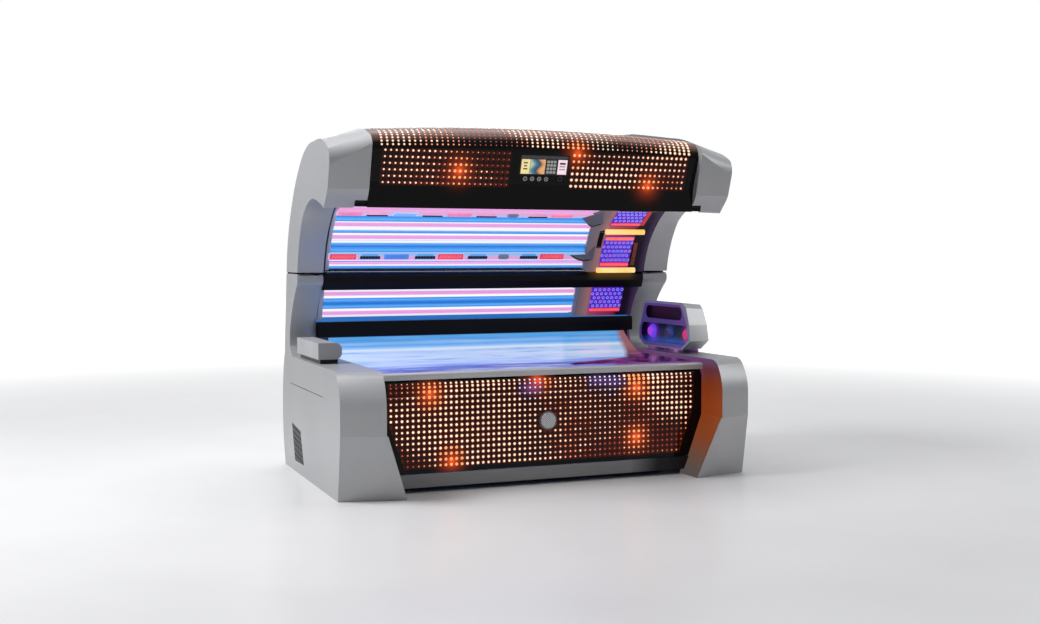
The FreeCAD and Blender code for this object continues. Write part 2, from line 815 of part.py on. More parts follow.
def fan_housing():
    """A square housing on the side rail, with a cross that holds the spindle."""
    frame = box((fan_x, fan_x + s.fan_depth), (s.fan_y - s.fan_radius - 10, s.fan_y + s.fan_radius + 10),
                (rail_high, fan_z + s.fan_radius + 10))
    bore = cylinder("x", s.fan_radius + 3, s.fan_depth + 2, fan_x - 1, s.fan_y, fan_z)
    reach = s.fan_radius + 5
    upright_bar = box((fan_x, fan_x + 6), (s.fan_y - 6, s.fan_y + 6), (fan_z - reach, fan_z + reach))
    level_bar = box((fan_x, fan_x + 6), (s.fan_y - reach, s.fan_y + reach), (fan_z - 6, fan_z + 6))
    spindle = cylinder("x", s.spindle_radius, s.fan_depth - 10, fan_x + 1, s.fan_y, fan_z)
    return fuse(cut(frame, bore), upright_bar, level_bar, spindle)


def fan_rotor():
    hub_start = fan_x + 6 + s.fit
    hub_length = s.fan_depth - 18
    solids = [cylinder("x", s.hub_radius, hub_length, hub_start, s.fan_y, fan_z)]
    for i in range(FAN_BLADES):
        turn = Rotation(Vector(1, 0, 0), 360 * i / FAN_BLADES) * Rotation(Vector(0, 0, 1), 35)
        blade = doc.addObject("Part::Box", "Blade")
        bind(blade, "Length", constant(30))
        bind(blade, "Width", constant(2.5))
        bind(blade, "Height", s.fan_radius - s.hub_radius + 2)
        corner = turn.multVec(Vector(-15, -1.25, 0))
        out = turn.multVec(Vector(0, 0, 1))
        blade.Placement = Placement(Vector(), turn)
        root = s.hub_radius - 2
        solids.append(move(blade, hub_start + hub_length / 2 + corner.x,
                           s.fan_y + corner.y + root * out.y, fan_z + corner.z + root * out.z))
    bore = cylinder("x", s.spindle_radius + s.running_fit, s.fan_depth, fan_x, s.fan_y, fan_z)
    return cut(fuse(*solids), bore)


right_housing = fan_housing()
node("fan_housings", group(right_housing, mirror(right_housing)))
right_rotor = fan_rotor()
node("right_fan_rotor", right_rotor)
node("left_fan_rotor", mirror(right_rotor))

ballasts = []
for row in range(2):
    for x in map(constant, (-890, -640, -290, -70, 140)):
        y = constant(130 + 110 * row)
        ballasts.append(box((x, x + 190), (y, y + 62), (pan_top, pan_top + 42)))
node("ballasts", group(*ballasts))
node("control_box", fuse(
    box((constant(420), constant(760)), (constant(-330), constant(-90)), (pan_top, pan_top + 120)),
    box((constant(400), constant(780)), (constant(-320), constant(-100)), (pan_top, pan_top + 3))))

# ---------------------------------------------------------------- head pod

pod_inner = arm_inner - 3
pod_outer = pod_inner + s.pod_width
pod_wall = constant(4)
# outlines of the pod, as offsets from the rear and then from the front nozzle
POD_FACE = ([(61, 0), (133, 42), (141, 96), (106, 179), (64, 287), (-62, 295)],
            [(23, 292), (-28, 262), (-68, 158), (-81, 59), (20, 1)])
POD_BACK = ([(56, 2), (125, 44), (132, 96), (98, 174), (58, 274), (-60, 282)],
            [(48, 279), (12, 251), (-38, 155), (-60, 60), (33, 3)])


def pod_outline(points, depth=0):
    path = [(s.nozzle_y + side * s.nozzle_spacing + y, pod_low + z)
            for side, half in zip((1, -1), points) for y, z in half]
    return inset(path, depth) if depth else path


pod_body = doc.addObject("PartDesign::Body", "PodShell")
add_loft(pod_body, "Additive", "yz", [(pod_outer, pod_outline(POD_BACK)),
                                      (pod_inner, pod_outline(POD_FACE))])
hollow = prism("yz", pod_inner - 1, s.pod_width - pod_wall + 1, pod_outline(POD_BACK, 4.0))
mouth_depth = constant(52)
mouth = prism("yz", pod_inner - 1, mouth_depth + 1, pod_outline(POD_BACK, 3.0))
node("pod_shell", cut(pod_body, fuse(hollow, mouth)))

WINDOW = ([(70, 27), (102, 70), (104, 100), (85, 151)], [(-30, 151), (-48, 90), (-40, 57), (-7, 31)])
SHELF = ([(46, 181), (32, 262)], [(40, 262), (8, 181)])
face_depth = 35 - s.fit
window = prism("yz", pod_inner - 1, face_depth + 2, pod_outline(WINDOW))
shelf = prism("yz", pod_inner - 1, constant(26), pod_outline(SHELF))
node("pod_face", cut(prism("yz", pod_inner, face_depth, pod_outline(POD_BACK, 3.3)), window, shelf))

nozzle_x = pod_inner + 43
nozzle_places = [s.nozzle_y + side * s.nozzle_spacing for side in (-1, 0, 1)]


def ball(radius, y):
    """A ball with its poles in the bore, which faces along the bed."""
    solid = doc.addObject("Part::Sphere", "Ball")
    solid.Placement = Placement(Vector(), TURNS["x"])
    bind(solid, "Radius", radius)
    return move(solid, nozzle_x, y, nozzle_height)


sockets = [ball(s.nozzle_radius + s.running_fit, y) for y in nozzle_places]
node("pod_bulkhead", cut(prism("yz", pod_inner + 35, constant(16), pod_outline(POD_BACK, 3.3)),
                         *sockets))
for place, y in zip(("front", "middle", "back"), nozzle_places):
    reach = s.nozzle_radius - 6
    core = common(ball(s.nozzle_radius, y),
                  box((nozzle_x - reach, nozzle_x + reach), (y - 60, y + 60),
                      (nozzle_height - 60, nozzle_height + 60)))
    bore = cylinder("x", s.nozzle_bore, 2 * s.nozzle_radius, nozzle_x - s.nozzle_radius, y,
                    nozzle_height)
    node("pod_nozzle_" + place, cut(core, bore))

# ---------------------------------------------------------------- foot rest

rest_outer = -(half_length - 20)
rest_inner = -(half_length - 155)
rest_front, rest_back = constant(-115), constant(430)
rest_low = s.bed_height + s.rest_rise
rest_high = rest_low + s.rest_thickness
corner = s.rest_corner
bulge = 0.2929 * corner
rest_block = prism("xz", -rest_back, rest_back - rest_front, [
    (rest_outer, rest_low), (rest_inner - corner, rest_low),
    via(rest_inner - bulge, rest_low + bulge), (rest_inner, rest_low + corner),
    (rest_inner, rest_high - corner), via(rest_inner - bulge, rest_high - bulge),
    (rest_inner - corner, rest_high), (rest_outer, rest_high)])
rest_hollow = box((rest_outer + 8, rest_inner - corner - 8), (rest_front + 8, rest_back - 8),
                  (rest_low - 1, rest_high - 6))
node("foot_rest", cut(rest_block, rest_hollow))
node("side_risers", group(
    box((pod_inner + 18, pod_outer - 15), (constant(-160), constant(305)),
        (s.bed_height, pod_low)),
    box((rest_outer + 15, rest_inner - 20), (rest_front + 20, rest_back - 20),
        (s.bed_height, rest_low))))

# ---------------------------------------------------------------- canopy casings

BEAM_END_TOP = 421


def canopy_outer():
    return [
        (back - 142, canopy_low), via(back - 183, canopy_low + 180),
        (back - 279, canopy_low + 361), via(back - 426, canopy_low + 535),
        (back - 566, canopy_low + 645), via(back - 725, canopy_low + 714),
        (back - 851, canopy_low + 730), (back - 973, canopy_low + 734),
        via(front + 388, canopy_high - 112), (front + 303, canopy_high - 154),
        via(front + 283, canopy_high - 200), (front + 286, canopy_high - 244),
        (front + 326, canopy_high - 364), (front + 350, canopy_high - 394),
        (front + 419.5, canopy_high - 463), via(*on_tunnel(s.tunnel_radius - 59, 88)),
        on_tunnel(s.tunnel_radius - 24.4, 77), via(*on_tunnel(s.tunnel_radius + 3, 65)),
        on_tunnel(s.tunnel_radius + 21, 48), via(*on_tunnel(s.tunnel_radius - 1, 31)),
        (arm_front, canopy_low)]


def canopy_inner():
    return [
        (back - 142, canopy_low), via(back - 164, canopy_low + 191),
        (back - 244, canopy_low + 396), via(back - 374, canopy_low + 581),
        (back - 514, canopy_low + 696), via(back - 704, canopy_high - 29),
        (back - 824, canopy_high - 2), (back - 923, canopy_high),
        via(front + 434, canopy_high - 30), (front + 321, canopy_high - 64),
        via(front + 259, canopy_high - 99), (front + 246, canopy_high - 124),
        (front + 317, canopy_high - 364), (front + 337, canopy_high - 394),
        (front + 389.5, canopy_high - 459), via(*on_tunnel(s.tunnel_radius - 12, 92)),
        on_tunnel(s.tunnel_radius + 10, 77), via(*on_tunnel(s.tunnel_radius, 66)),
        on_tunnel(s.tunnel_radius - 10, 46), via(*on_tunnel(s.tunnel_radius + 3, 29.5)),
        (arm_front + 29.5, canopy_low)]


def canopy_casing():
    body = doc.addObject("PartDesign::Body", "CanopyCasing")
    add_loft(body, "Additive", "yz", [(half_length, canopy_outer()),
                                      (casing_inner, canopy_inner())])
    add_loft(body, "Subtractive", "yz", [(half_length - s.wall, inset(canopy_outer(), s.wall)),
                                         (casing_inner + s.wall, inset(canopy_inner(), s.wall))])
    # the tunnel runs on into the casing, up to its end plate
    room = cylinder("x", s.tunnel_radius + 193, s.arm_width + 5, casing_inner - 5,
                    s.tunnel_centre_y, s.tunnel_centre_z)
    side = box((casing_inner - 5, arm_inner), (s.tunnel_centre_y - 143, back),
               (canopy_low - 10, canopy_high))
    arm_slot = box((arm_inner + 25, half_length - 15), (s.canopy_hinge_y - 6, back - 165),
                   (canopy_low - 5, canopy_low + s.wall + 4))
    beam_seat = box((casing_inner - 5, arm_inner), (front + 330, front + 430),
                    (canopy_high - 480, canopy_high - BEAM_END_TOP))
    return cut(body, common(room, side), arm_slot, beam_seat)


right_canopy = canopy_casing()
node("right_canopy_casing", right_canopy)
node("left_canopy_casing", mirror(right_canopy))

# ---------------------------------------------------------------- canopy frame

BEAM_LOW, BEAM_HIGH = 108, 163


def canopy_plate(x):
    """A side plate: the eye on the hinge line, the arm behind it and a curved beam."""
    hinge_y, hinge_z = s.canopy_hinge_y, s.canopy_hinge_z
    arm = prism("yz", x, s.hinge_plate, [
        (hinge_y, hinge_z - eye_radius), (hinge_y + 68, hinge_z - eye_radius),
        (hinge_y + 153, hinge_z + 50), on_tunnel(s.tunnel_radius + BEAM_HIGH - 1, 16),
        on_tunnel(s.tunnel_radius + BEAM_LOW + 1, 16), (hinge_y + 43, hinge_z + eye_radius),
        (hinge_y, hinge_z + eye_radius), via(hinge_y - eye_radius, hinge_z)])
    beam = prism("yz", x, s.hinge_plate, sector(s.tunnel_radius + BEAM_LOW,
                                                s.tunnel_radius + BEAM_HIGH, 15, 98))
    return fuse(arm, beam)


def canopy_frame():
    solids = [canopy_plate(plate_inner), canopy_plate(-plate_outer)]
    hollows = []
    reach = half_length - s.wall - s.fit
    for angle in (22, 46, 70, 94):
        y, z = on_tunnel(s.tunnel_radius + (BEAM_LOW + BEAM_HIGH) / 2, angle)
        solids.append(cylinder("x", constant(18), 2 * reach, -reach, y, z))
        hollows.append(cylinder("x", constant(15), 2 * reach + 2, -reach - 1, y, z))
    for x in (plate_in, -plate_in - 4):
        solids.append(prism("yz", x, constant(4), sector(s.tunnel_radius + 1,
                                                         s.tunnel_radius + 148, 14.6, 100.5)))
    bore = cylinder("x", s.hinge_pin_radius + s.running_fit, s.overall_length, -half_length,
                    s.canopy_hinge_y, s.canopy_hinge_z)
    return cut(fuse(*solids), bore, *hollows)


node("canopy_frame", canopy_frame())


def on_hinge(start, length, radius):
    return cylinder("x", radius, length, start, s.canopy_hinge_y, s.canopy_hinge_z)


pin_start = plate_inner - ear_gap - s.hinge_plate - 4
pin_end = plate_outer + ear_gap + s.hinge_plate + 3
right_pin = fuse(on_hinge(pin_start, pin_end - pin_start, s.hinge_pin_radius),
                 on_hinge(pin_start, 4 - s.fit, s.hinge_pin_radius + 4),
                 on_hinge(pin_end - 3 + s.fit, 3 - s.fit, s.hinge_pin_radius + 4))
node("hinge_pins", group(right_pin, mirror(right_pin)))
right_spring = on_hinge(pin_end + s.fit, half_length - s.wall - pin_end - 2 * s.fit, constant(15))
node("hinge_spring_cartridges", group(right_spring, mirror(right_spring)))

# ---------------------------------------------------------------- canopy tunnel

TUNNEL_START, TUNNEL_END = 13.4, 101.0


def tunnel(low, high, start, end, x, length):
    return prism("yz", x, length, sector(low, high, start, end))


canopy_lamp_run = lamp_head_end + tunnel_end
node("canopy_acrylic", tunnel(s.tunnel_radius, acrylic_outer, TUNNEL_START, TUNNEL_END,
                              -tunnel_end, canopy_lamp_run))
lamp_count = int((96 - 17.2) / SIZES["canopy_lamp_pitch"]) + 1
canopy_tubes = []
for i in range(lamp_count):
    y, z = on_tunnel(lamp_ring, 17.2 + i * SIZES["canopy_lamp_pitch"])
    canopy_tubes.append(lamp(canopy_lamp_run - 2 * lamp_seat, -tunnel_end + lamp_seat, y, z))
node("canopy_lamps", group(*canopy_tubes))
node("canopy_lamp_holders", group(*[
    holder(15, 99, x, lamp_seat, lamp_ring, sector)
    for x in (-tunnel_end, lamp_head_end - lamp_seat)]))
node("canopy_reflector", tunnel(reflector_ring, reflector_ring + s.sheet_thickness,
                                14.6, 99.5, -tunnel_end, 2 * tunnel_end))
strip_run = lamp_head_end - 40 + tunnel_end
node("canopy_vent_strips", group(*[
    tunnel(s.tunnel_radius - 12, s.tunnel_radius - s.fit, angle - 2, angle + 2,
           -tunnel_end + 10, strip_run)
    for angle in (23.8, 56)]))
face_start = lamp_head_end + 2
node("face_light_housing", cut(
    tunnel(s.tunnel_radius, reflector_ring - s.fit, TUNNEL_START, TUNNEL_END - 1.5,
           face_start, tunnel_end - face_start),
    tunnel(acrylic_outer, reflector_ring - 5, TUNNEL_START + 0.5, TUNNEL_END - 2,
           face_start + 5, tunnel_end - face_start - 10)))
node("face_light_panels", group(*[
    tunnel(s.tunnel_radius - 7, s.tunnel_radius - s.fit, start, end,
           lamp_head_end + 85, s.face_panel_width)
    for start, end in ((16.8, 37.8), (46.6, 62), (69, 85))]))
face_bars = []
for angle in (14.8, 42.5, 66.2):
    y, z = on_tunnel(s.tunnel_radius - s.face_bar_radius - s.fit, angle)
    face_bars.append(cylinder("x", s.face_bar_radius, s.face_light_run - 82,
                              lamp_head_end + 67, y, z))
node("face_lamp_bars", group(*face_bars))

# ---------------------------------------------------------------- visor and top


def visor_front(crown):
    """Front of the visor, raised by a share of the canopy's crown."""
    lift = crown * s.crown_rise
    return [(front + 365, canopy_high - 459), (front + 351, canopy_high - 318),
            (front + 293, canopy_high - 156 + lift / 2),
            via(front + 302, canopy_high - 96 + 0.78 * lift),
            (front + 345, canopy_high - 55 + 0.94 * lift),
            (front + 390, canopy_high - 42 + lift)]


visor_body = doc.addObject("PartDesign::Body", "Visor")
visor_ends = [(-trim_end, 0), (constant(0), 1), (trim_end, 0)]
add_loft(visor_body, "Additive", "yz", [
    (x, strip(visor_front(crown)[::-1], s.glass_thickness)) for x, crown in visor_ends], False)
node("visor_glass", visor_body)


def cover_top(crown):
    """Top and rear of the canopy between its casings."""
    lift = crown * s.crown_rise
    return [(back - 145, canopy_low + 1), via(back - 167, canopy_low + 191),
            (back - 247, canopy_low + 394), via(back - 377, canopy_low + 577 + 0.15 * lift),
            (back - 516, canopy_low + 691 + 0.35 * lift),
            via(back - 705, canopy_high - 34 + 0.7 * lift),
            (back - 824, canopy_high - 7 + 0.9 * lift), (back - 923, canopy_high - 5 + lift),
            via(front + 480, canopy_high - 20 + lift), (front + 391, canopy_high - 42 + lift)]


cover_body = doc.addObject("PartDesign::Body", "CanopyCover")
add_loft(cover_body, "Additive", "yz", [
    (x, strip(cover_top(crown), 4)) for x, crown in visor_ends], False)
node("canopy_top_cover", cover_body)

visor_tube = profile_tube(2 * trim_end, [
    (front + 372.5, canopy_high - 455), (front + 390.5, canopy_high - 455),
    (front + 400, canopy_high - 385), (front + 393, canopy_high - 314),
    (front + 384.5, canopy_high - 224), (front + 364.5, canopy_high - 154),
    (front + 324.5, canopy_high - 154), (front + 320.5, canopy_high - 169),
    (front + 374.5, canopy_high - 320)])
# the beam's ends fill the casings' seats for it
beam_ends = [prism("yz", x, s.casing_width - s.arm_width, [
    (front + 366, canopy_high - BEAM_END_TOP - s.fit), (front + 372.5, canopy_high - 436),
    (front + 372.5, canopy_high - 455), (front + 391, canopy_high - 455),
    (front + 395, canopy_high - BEAM_END_TOP - s.fit)])
    for x in (trim_end - 1, -arm_inner + 1 + s.fit)]
node("visor_beam", fuse(visor_tube, *beam_ends))


def behind_visor(x, length, near, far, low, high):
    """A flat piece behind the visor's face, between two depths and two shares of it."""
    foot, head = visor_front(0)[1], visor_front(0)[2]
    run = flat(head) - flat(foot)
    across = Vector(run.y, -run.x, 0) / run.Length
    corners = [(low, far), (high, far), (high, near), (low, near)]
    return prism("yz", x, length, [
        (foot[0] + run.x * share + depth * across.x, foot[1] + run.y * share + depth * across.y)
        for share, depth in corners])


board_width = casing_inner - 190 - 70
node("visor_led_boards", group(*[
    behind_visor(x, board_width, 11, 21, 0.03, 0.92)
    for x in (-(casing_inner - 70), constant(190))]))
node("display_unit", behind_visor(-s.display_width / 2, s.display_width, 13, 21, 0.1, 0.92))

# ---------------------------------------------------------------- checks and files

doc.recompute()
faults = [item.Label for item in doc.Objects
          if "Invalid" in item.State or "Error" in item.State]
faults += [label for label, item in nodes.items()
           if item.Shape.isNull() or not item.Shape.isValid() or item.Shape.Volume <= 0]
if faults:
    raise SystemExit("not built: " + ", ".join(faults))
for label, item in nodes.items():
    item.Shape.exportStep("parts/%s.step" % label)
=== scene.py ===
"""A lie-down tanning bed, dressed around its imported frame. Metres; +X head end, -Y front, +Z up."""

import math
import random
from contextlib import contextmanager

import bmesh
import bpy
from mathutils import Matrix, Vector
from mathutils.bvhtree import BVHTree


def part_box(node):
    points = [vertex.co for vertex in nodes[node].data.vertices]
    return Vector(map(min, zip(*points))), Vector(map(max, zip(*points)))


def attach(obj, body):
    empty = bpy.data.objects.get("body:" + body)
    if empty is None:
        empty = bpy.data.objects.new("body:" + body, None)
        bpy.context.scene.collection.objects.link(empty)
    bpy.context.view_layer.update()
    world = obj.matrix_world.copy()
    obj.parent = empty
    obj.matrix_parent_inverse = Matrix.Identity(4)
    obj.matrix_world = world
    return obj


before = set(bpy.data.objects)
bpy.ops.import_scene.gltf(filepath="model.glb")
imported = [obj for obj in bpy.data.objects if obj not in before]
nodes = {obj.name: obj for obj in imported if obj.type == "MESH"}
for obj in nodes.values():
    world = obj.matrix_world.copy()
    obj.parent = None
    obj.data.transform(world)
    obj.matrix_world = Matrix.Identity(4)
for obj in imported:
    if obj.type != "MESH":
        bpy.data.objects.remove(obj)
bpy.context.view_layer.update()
scene = bpy.context.scene

# ---- node helpers


def calculation(kind):
    return lambda value, other=None: value.tree.math(kind, value, other)


class Value:
    """A node's output that can be calculated with like a number; a | b is the larger one."""

    def __init__(self, tree, socket):
        self.tree, self.socket = tree, socket

    __add__, __sub__, __mul__ = map(calculation, ("ADD", "SUBTRACT", "MULTIPLY"))
    __lt__, __gt__, __or__ = map(calculation, ("LESS_THAN", "GREATER_THAN", "MAXIMUM"))
    __abs__ = calculation("ABSOLUTE")

    def span(self, low, high, to_low=0, to_high=1):
        """Carry the range low to high over to another one, and stay inside it."""
        return self.tree.value("MapRange",
                               {0: self, 1: low, 2: high, 3: to_low, 4: to_high})

    def ramp(self, *stops):
        """A colour for each value; a stop is its place and the colour's three parts."""
        item = self.tree.add("ValToRGB", {0: self})
        elements = item.color_ramp.elements
        while len(elements) < len(stops):
            elements.new(0.5)
        for element, (place, *color) in zip(elements, stops):
            element.position = place
            element.color = (*color, 1)
        return Value(self.tree, item.outputs[0])

    def mix(self, a, b):
        return self.tree.mix(self, a, b)

    def of(self, color):
        """This much of a colour, over black."""
        return self.mix((0, 0, 0), color)

    def plus(self, other):
        """Two colours of light on top of each other."""
        return self.tree.mix(1, self, other, "ADD")

    def noise(self, scale, detail=3, roughness=0.5, stretch=None):
        vector = self
        if stretch:
            vector = self.tree.value("Mapping", {"Vector": self, "Scale": stretch})
        return self.tree.value("TexNoise", {"Vector": vector, "Scale": scale,
                                            "Detail": detail, "Roughness": roughness},
                               "Fac")

    def bump(self, strength, distance):
        return self.tree.value("Bump", {"Height": self, "Strength": strength,
                                        "Distance": distance})


class Tree:
    """Short-hand for building a node tree."""

    def __init__(self, owner):
        owner.use_nodes = True
        self.tree = owner.node_tree
        self.tree.nodes.clear()

    def add(self, kind, inputs=(), **settings):
        item = self.tree.nodes.new("ShaderNode" + kind)
        for name, value in settings.items():
            setattr(item, name, value)
        for key, value in dict(inputs).items():
            self.set(item, key, value)
        return item

    def set(self, item, key, value):
        socket = item.inputs[key]
        value = getattr(value, "socket", value)
        if isinstance(value, bpy.types.NodeSocket):
            self.tree.links.new(value, socket)
        elif socket.type == "RGBA":
            socket.default_value = (*value, 1)
        else:
            socket.default_value = value

    def value(self, kind, inputs=(), output=0, **settings):
        return Value(self, self.add(kind, inputs, **settings).outputs[output])

    def math(self, kind, *values):
        inputs = {i: value for i, value in enumerate(values) if value is not None}
        return self.value("Math", inputs, operation=kind)

    def mix(self, factor, a, b, kind="MIX"):
        return self.value("Mix", {0: factor, 6: a, 7: b}, 2, data_type="RGBA",
                          blend_type=kind)

    def split(self, vector):
        parts = self.add("SeparateXYZ", {0: vector}).outputs
        return [Value(self, part) for part in parts]

    def rays(self, *kinds):
        path = self.add("LightPath").outputs
        return [Value(self, path["Is %s Ray" % kind]) for kind in kinds]


SOCKETS = {"color": "Base Color", "rough": "Roughness", "metal": "Metallic", "normal": "Normal",
           "shine": "Specular IOR Level", "coat": "Coat Weight", "coat_rough": "Coat Roughness",
           "alpha": "Alpha", "glow": "Emission Color", "power": "Emission Strength"}


class Look(Tree):
    """A material, with the object coordinates in metres that its patterns hang on."""

    def __init__(self, name, **values):
        self.material = bpy.data.materials.new(name)
        super().__init__(self.material)
        self.shader = self.add("BsdfPrincipled")
        self.set(self.add("OutputMaterial"), 0, self.shader.outputs[0])
        self.texture = self.value("TexCoord", output="Object")
        self.x, self.y, self.z = self.split(self.texture)
        self.paint(**values)

    def paint(self, **values):
        for name, value in values.items():
            self.set(self.shader, SOCKETS[name], value)

    def base_color(self):
        return self.shader.inputs["Base Color"].links[0].from_socket

    def uneven(self, scale, low, high, detail=3):
        """A value that drifts from low to high across the surface."""
        return self.texture.noise(scale, detail).span(0.3, 0.7, low, high)


def dress(look, *names):
    for name in names:
        for slot in nodes[name].material_slots:
            slot.material = look.material


# ---- camera and studio

IMAGE_WIDTH = 1040
FOCAL_PIXELS = 1272.29
CAMERA_PLACE = (-2.82744, -7.07521, 1.29643)
CAMERA_HEADING = 0.386632
CAMERA_PITCH = 0.0459295
SENSOR_WIDTH = 36


def add_object(name, data, place=(0, 0, 0)):
    item = bpy.data.objects.new(name, data)
    item.location = place
    scene.collection.objects.link(item)
    return item


camera_data = bpy.data.cameras.new("camera")
camera_data.sensor_width = SENSOR_WIDTH
camera_data.lens = SENSOR_WIDTH * FOCAL_PIXELS / IMAGE_WIDTH
camera_data.clip_end = 60
camera = add_object("camera", camera_data, CAMERA_PLACE)
camera.rotation_euler = (math.pi / 2 - CAMERA_PITCH, 0, -CAMERA_HEADING)
scene.camera = camera

scene.world = bpy.data.worlds.new("studio")
w = Tree(scene.world)
camera_ray, glossy, through = w.rays("Camera", "Glossy", "Transmission")
# a soft sky that is bright overhead and dim towards the front of the object
north, up = w.split(w.value("TexCoord", output="Generated"))[1:]
sky = up.span(-0.1, 0.9, 0.15, 0.62) * north.span(-0.8, 0.2, 0.28, 1)
mirrored = up.span(0, 0.9).ramp((0, 0.32, 0.33, 0.35), (1, 0.75, 0.76, 0.78))
background = w.add("Background", {"Color": glossy.mix((1, 1, 1), mirrored),
                                  "Strength": camera_ray | glossy | through | sky})
w.set(w.add("OutputWorld"), "Surface", background.outputs[0])

for name, place, target, size, power in (
        ("key_light", (-4.3, 0.2, 5), (0, 0, 0.9), (2.5, 2.5), 370),
        ("fill_light", (5, -1.8, 2.8), (0, 0, 0.9), (2.5, 2.5), 45),
        ("top_light", (0.8, 0.3, 5), (0.3, 0, 1), (4, 2.5), 95),
        ("back_light", (1.5, 5, 3.4), (0, 0.5, 1), (3.5, 2), 120)):
    data = bpy.data.lights.new(name, "AREA")
    data.shape = "RECTANGLE"
    data.size, data.size_y = size
    data.energy = power
    aim = Vector(target) - Vector(place)
    add_object(name, data, place).rotation_euler = aim.to_track_quat("-Z", "Y").to_euler()

FLOOR_REACH = 30
floor_mesh = bpy.data.meshes.new("floor")
floor_mesh.from_pydata([(FLOOR_REACH * x, FLOOR_REACH * y, 0)
                        for x, y in ((-1, -1), (1, -1), (1, 1), (-1, 1))], [], [(0, 1, 2, 3)])
floor = add_object("floor", floor_mesh)
f = Look("floor")
# far off, the floor fades into the white background
away = f.math("SQRT", f.x * f.x + f.y * f.y).span(3, 9)
pale = f.texture.noise(1.5).ramp((0.3, 0.66, 0.66, 0.67), (0.7, 0.69, 0.69, 0.7))
straight = f.rays("Camera")[0]
f.paint(color=away.mix(pale, (0, 0, 0)), rough=0.28, glow=(1, 1, 1),
        power=away * straight.span(0, 1, 0.4, 1))
floor_mesh.materials.append(f.material)

# ---- places shared with the CAD

TUNNEL_Y, TUNNEL_Z = -0.242, 1.041
FRONT_Y = -0.5455


def tunnel_angle(look):
    """Degrees round the tunnel's centre line: 0 at the rear, 90 at the top."""
    return look.math("ARCTAN2", look.z - TUNNEL_Z, look.y - TUNNEL_Y) * (180 / math.pi)


# ---- casings and trim


def scaled(color, factor):
    return tuple(min(1, part * factor) for part in color)


def lacquer(name, color, roughness=0.38, metallic=0.35, flake=0.12):
    """Silver lacquer: fine flakes, a faint orange peel and slightly uneven gloss."""
    look = Look(name, metal=metallic, coat=0.2, coat_rough=0.25)
    flakes = look.texture.noise(900, 1).span(0.35, 0.65)
    cloud = look.texture.noise(2.2)
    tint = flakes.mix(scaled(color, 1 - flake), scaled(color, 1 + flake))
    look.paint(color=cloud.span(0.3, 0.7, 0, 0.16).mix(tint, scaled(color, 0.8)),
               rough=cloud.span(0.2, 0.8, roughness - 0.05, roughness + 0.06),
               normal=look.texture.noise(160, 2).bump(0.05, 0.0004))
    return look


def plastic(name, color, roughness=0.5, depth=0.12, coat=0, shine=0.5):
    look = Look(name, shine=shine, coat=coat, coat_rough=0.08)
    fine = look.texture.noise(420, 2)
    look.paint(color=look.uneven(5, 0, 1).mix(scaled(color, 0.88), scaled(color, 1.1)),
               rough=fine.span(0.3, 0.7, roughness - 0.06, roughness + 0.06),
               normal=fine.bump(depth, 0.0003))
    return look


def metal(name, color, roughness=0.3, metallic=1):
    look = Look(name, metal=metallic)
    lines = look.texture.noise(3, 4, 0.6, (1.5, 260, 260))
    look.paint(color=lines.span(0.35, 0.65).mix(scaled(color, 0.86), scaled(color, 1.08)),
               rough=lines.span(0.3, 0.7, roughness - 0.07, roughness + 0.08),
               normal=lines.bump(0.08, 0.0002))
    return look


SILVER = ((0.4, 0.403, 0.415), 0.38, 0.4)

# the head-end casing, whose inner face takes the orange glow of the front panel
look = lacquer("silver_lacquer_lit", *SILVER)
y, z = look.y, look.z
normal = look.split(look.add("NewGeometry").outputs["Normal"])
bend = abs(z - 0.35) < 0.02
facing = normal[0].span(-0.4, -0.1, 1, 0) | bend * (normal[1] > -0.6)
lit = facing * (y.span(-0.3, -0.2, 1, 0) | z.span(0.6, 0.66)) * z.span(0.83, 0.7)
look.paint(color=lit.mix(look.base_color(), (0.03, 0.015, 0.01)), power=lit,
           glow=z.span(0, 0.68).ramp(
               (0, 0.07, 0.07, 0.072), (0.14, 0.11, 0.065, 0.045),
               (0.33, 0.2, 0.045, 0.012), (0.6, 0.23, 0.036, 0.003),
               (0.8, 0.17, 0.026, 0.005), (0.92, 0.09, 0.02, 0.035),
               (1, 0.1, 0.035, 0.13)))
dress(look, "right_base_casing")

silver = lacquer("silver_lacquer", *SILVER)
dress(silver, "right_canopy_casing", "left_canopy_casing", "left_base_casing")
dress(plastic("grille_plastic", (0.035, 0.035, 0.038), 0.5), "side_grilles")
dress(lacquer("rail_lacquer", (0.5, 0.5, 0.51), 0.4, 0.2, 0.06), "front_rail")
kick = metal("kick_metal", (0.25, 0.25, 0.255), 0.45, metallic=0.4)
# painted shade: the plate darkens to near black from x 0.52 to 0.7 and stays so towards the head end
kick.paint(color=kick.x.span(0.52, 0.7).mix(kick.base_color(), (0.012, 0.012, 0.014)))
dress(kick, "kick_plate")
BLACK_TRIM = ((0.004, 0.004, 0.006), 0.4)
dress(plastic("black_trim", *BLACK_TRIM, shine=0.15), "lower_bar", "cable_gland")
# the upper bar's head end carries a painted brown glow, standing in for the light of the lamp bar
# over it
painted_glow = plastic("black_trim_warmed", *BLACK_TRIM, shine=0.15)
run = painted_glow.x.span(0.66, 0.74) * painted_glow.x.span(1.02, 0.96)
painted_glow.paint(glow=(0.42, 0.22, 0.025), power=run * painted_glow.z.span(1.12, 1.175, 0, 0.22))
dress(painted_glow, "upper_bar")
# painted light: towards the head end the black gloss risers carry a glow of violet and pink patches
risers = plastic("riser_gloss", (0.01, 0.008, 0.014), 0.2, shine=0.2)
risers.paint(power=risers.x.span(0.8, 0.9, 0, 0.7), glow=risers.texture.noise(9).ramp(
    (0.36, 0.012, 0.004, 0.03), (0.5, 0.09, 0.03, 0.16), (0.62, 0.26, 0.08, 0.3),
    (0.74, 0.45, 0.22, 0.45)))
dress(risers, "side_risers")
dress(plastic("rear_paint", (0.26, 0.265, 0.28), 0.45), "rear_cover", "upper_rear_cover")
dress(plastic("rest_plastic", (0.36, 0.362, 0.375), 0.38, coat=0.2), "foot_rest")
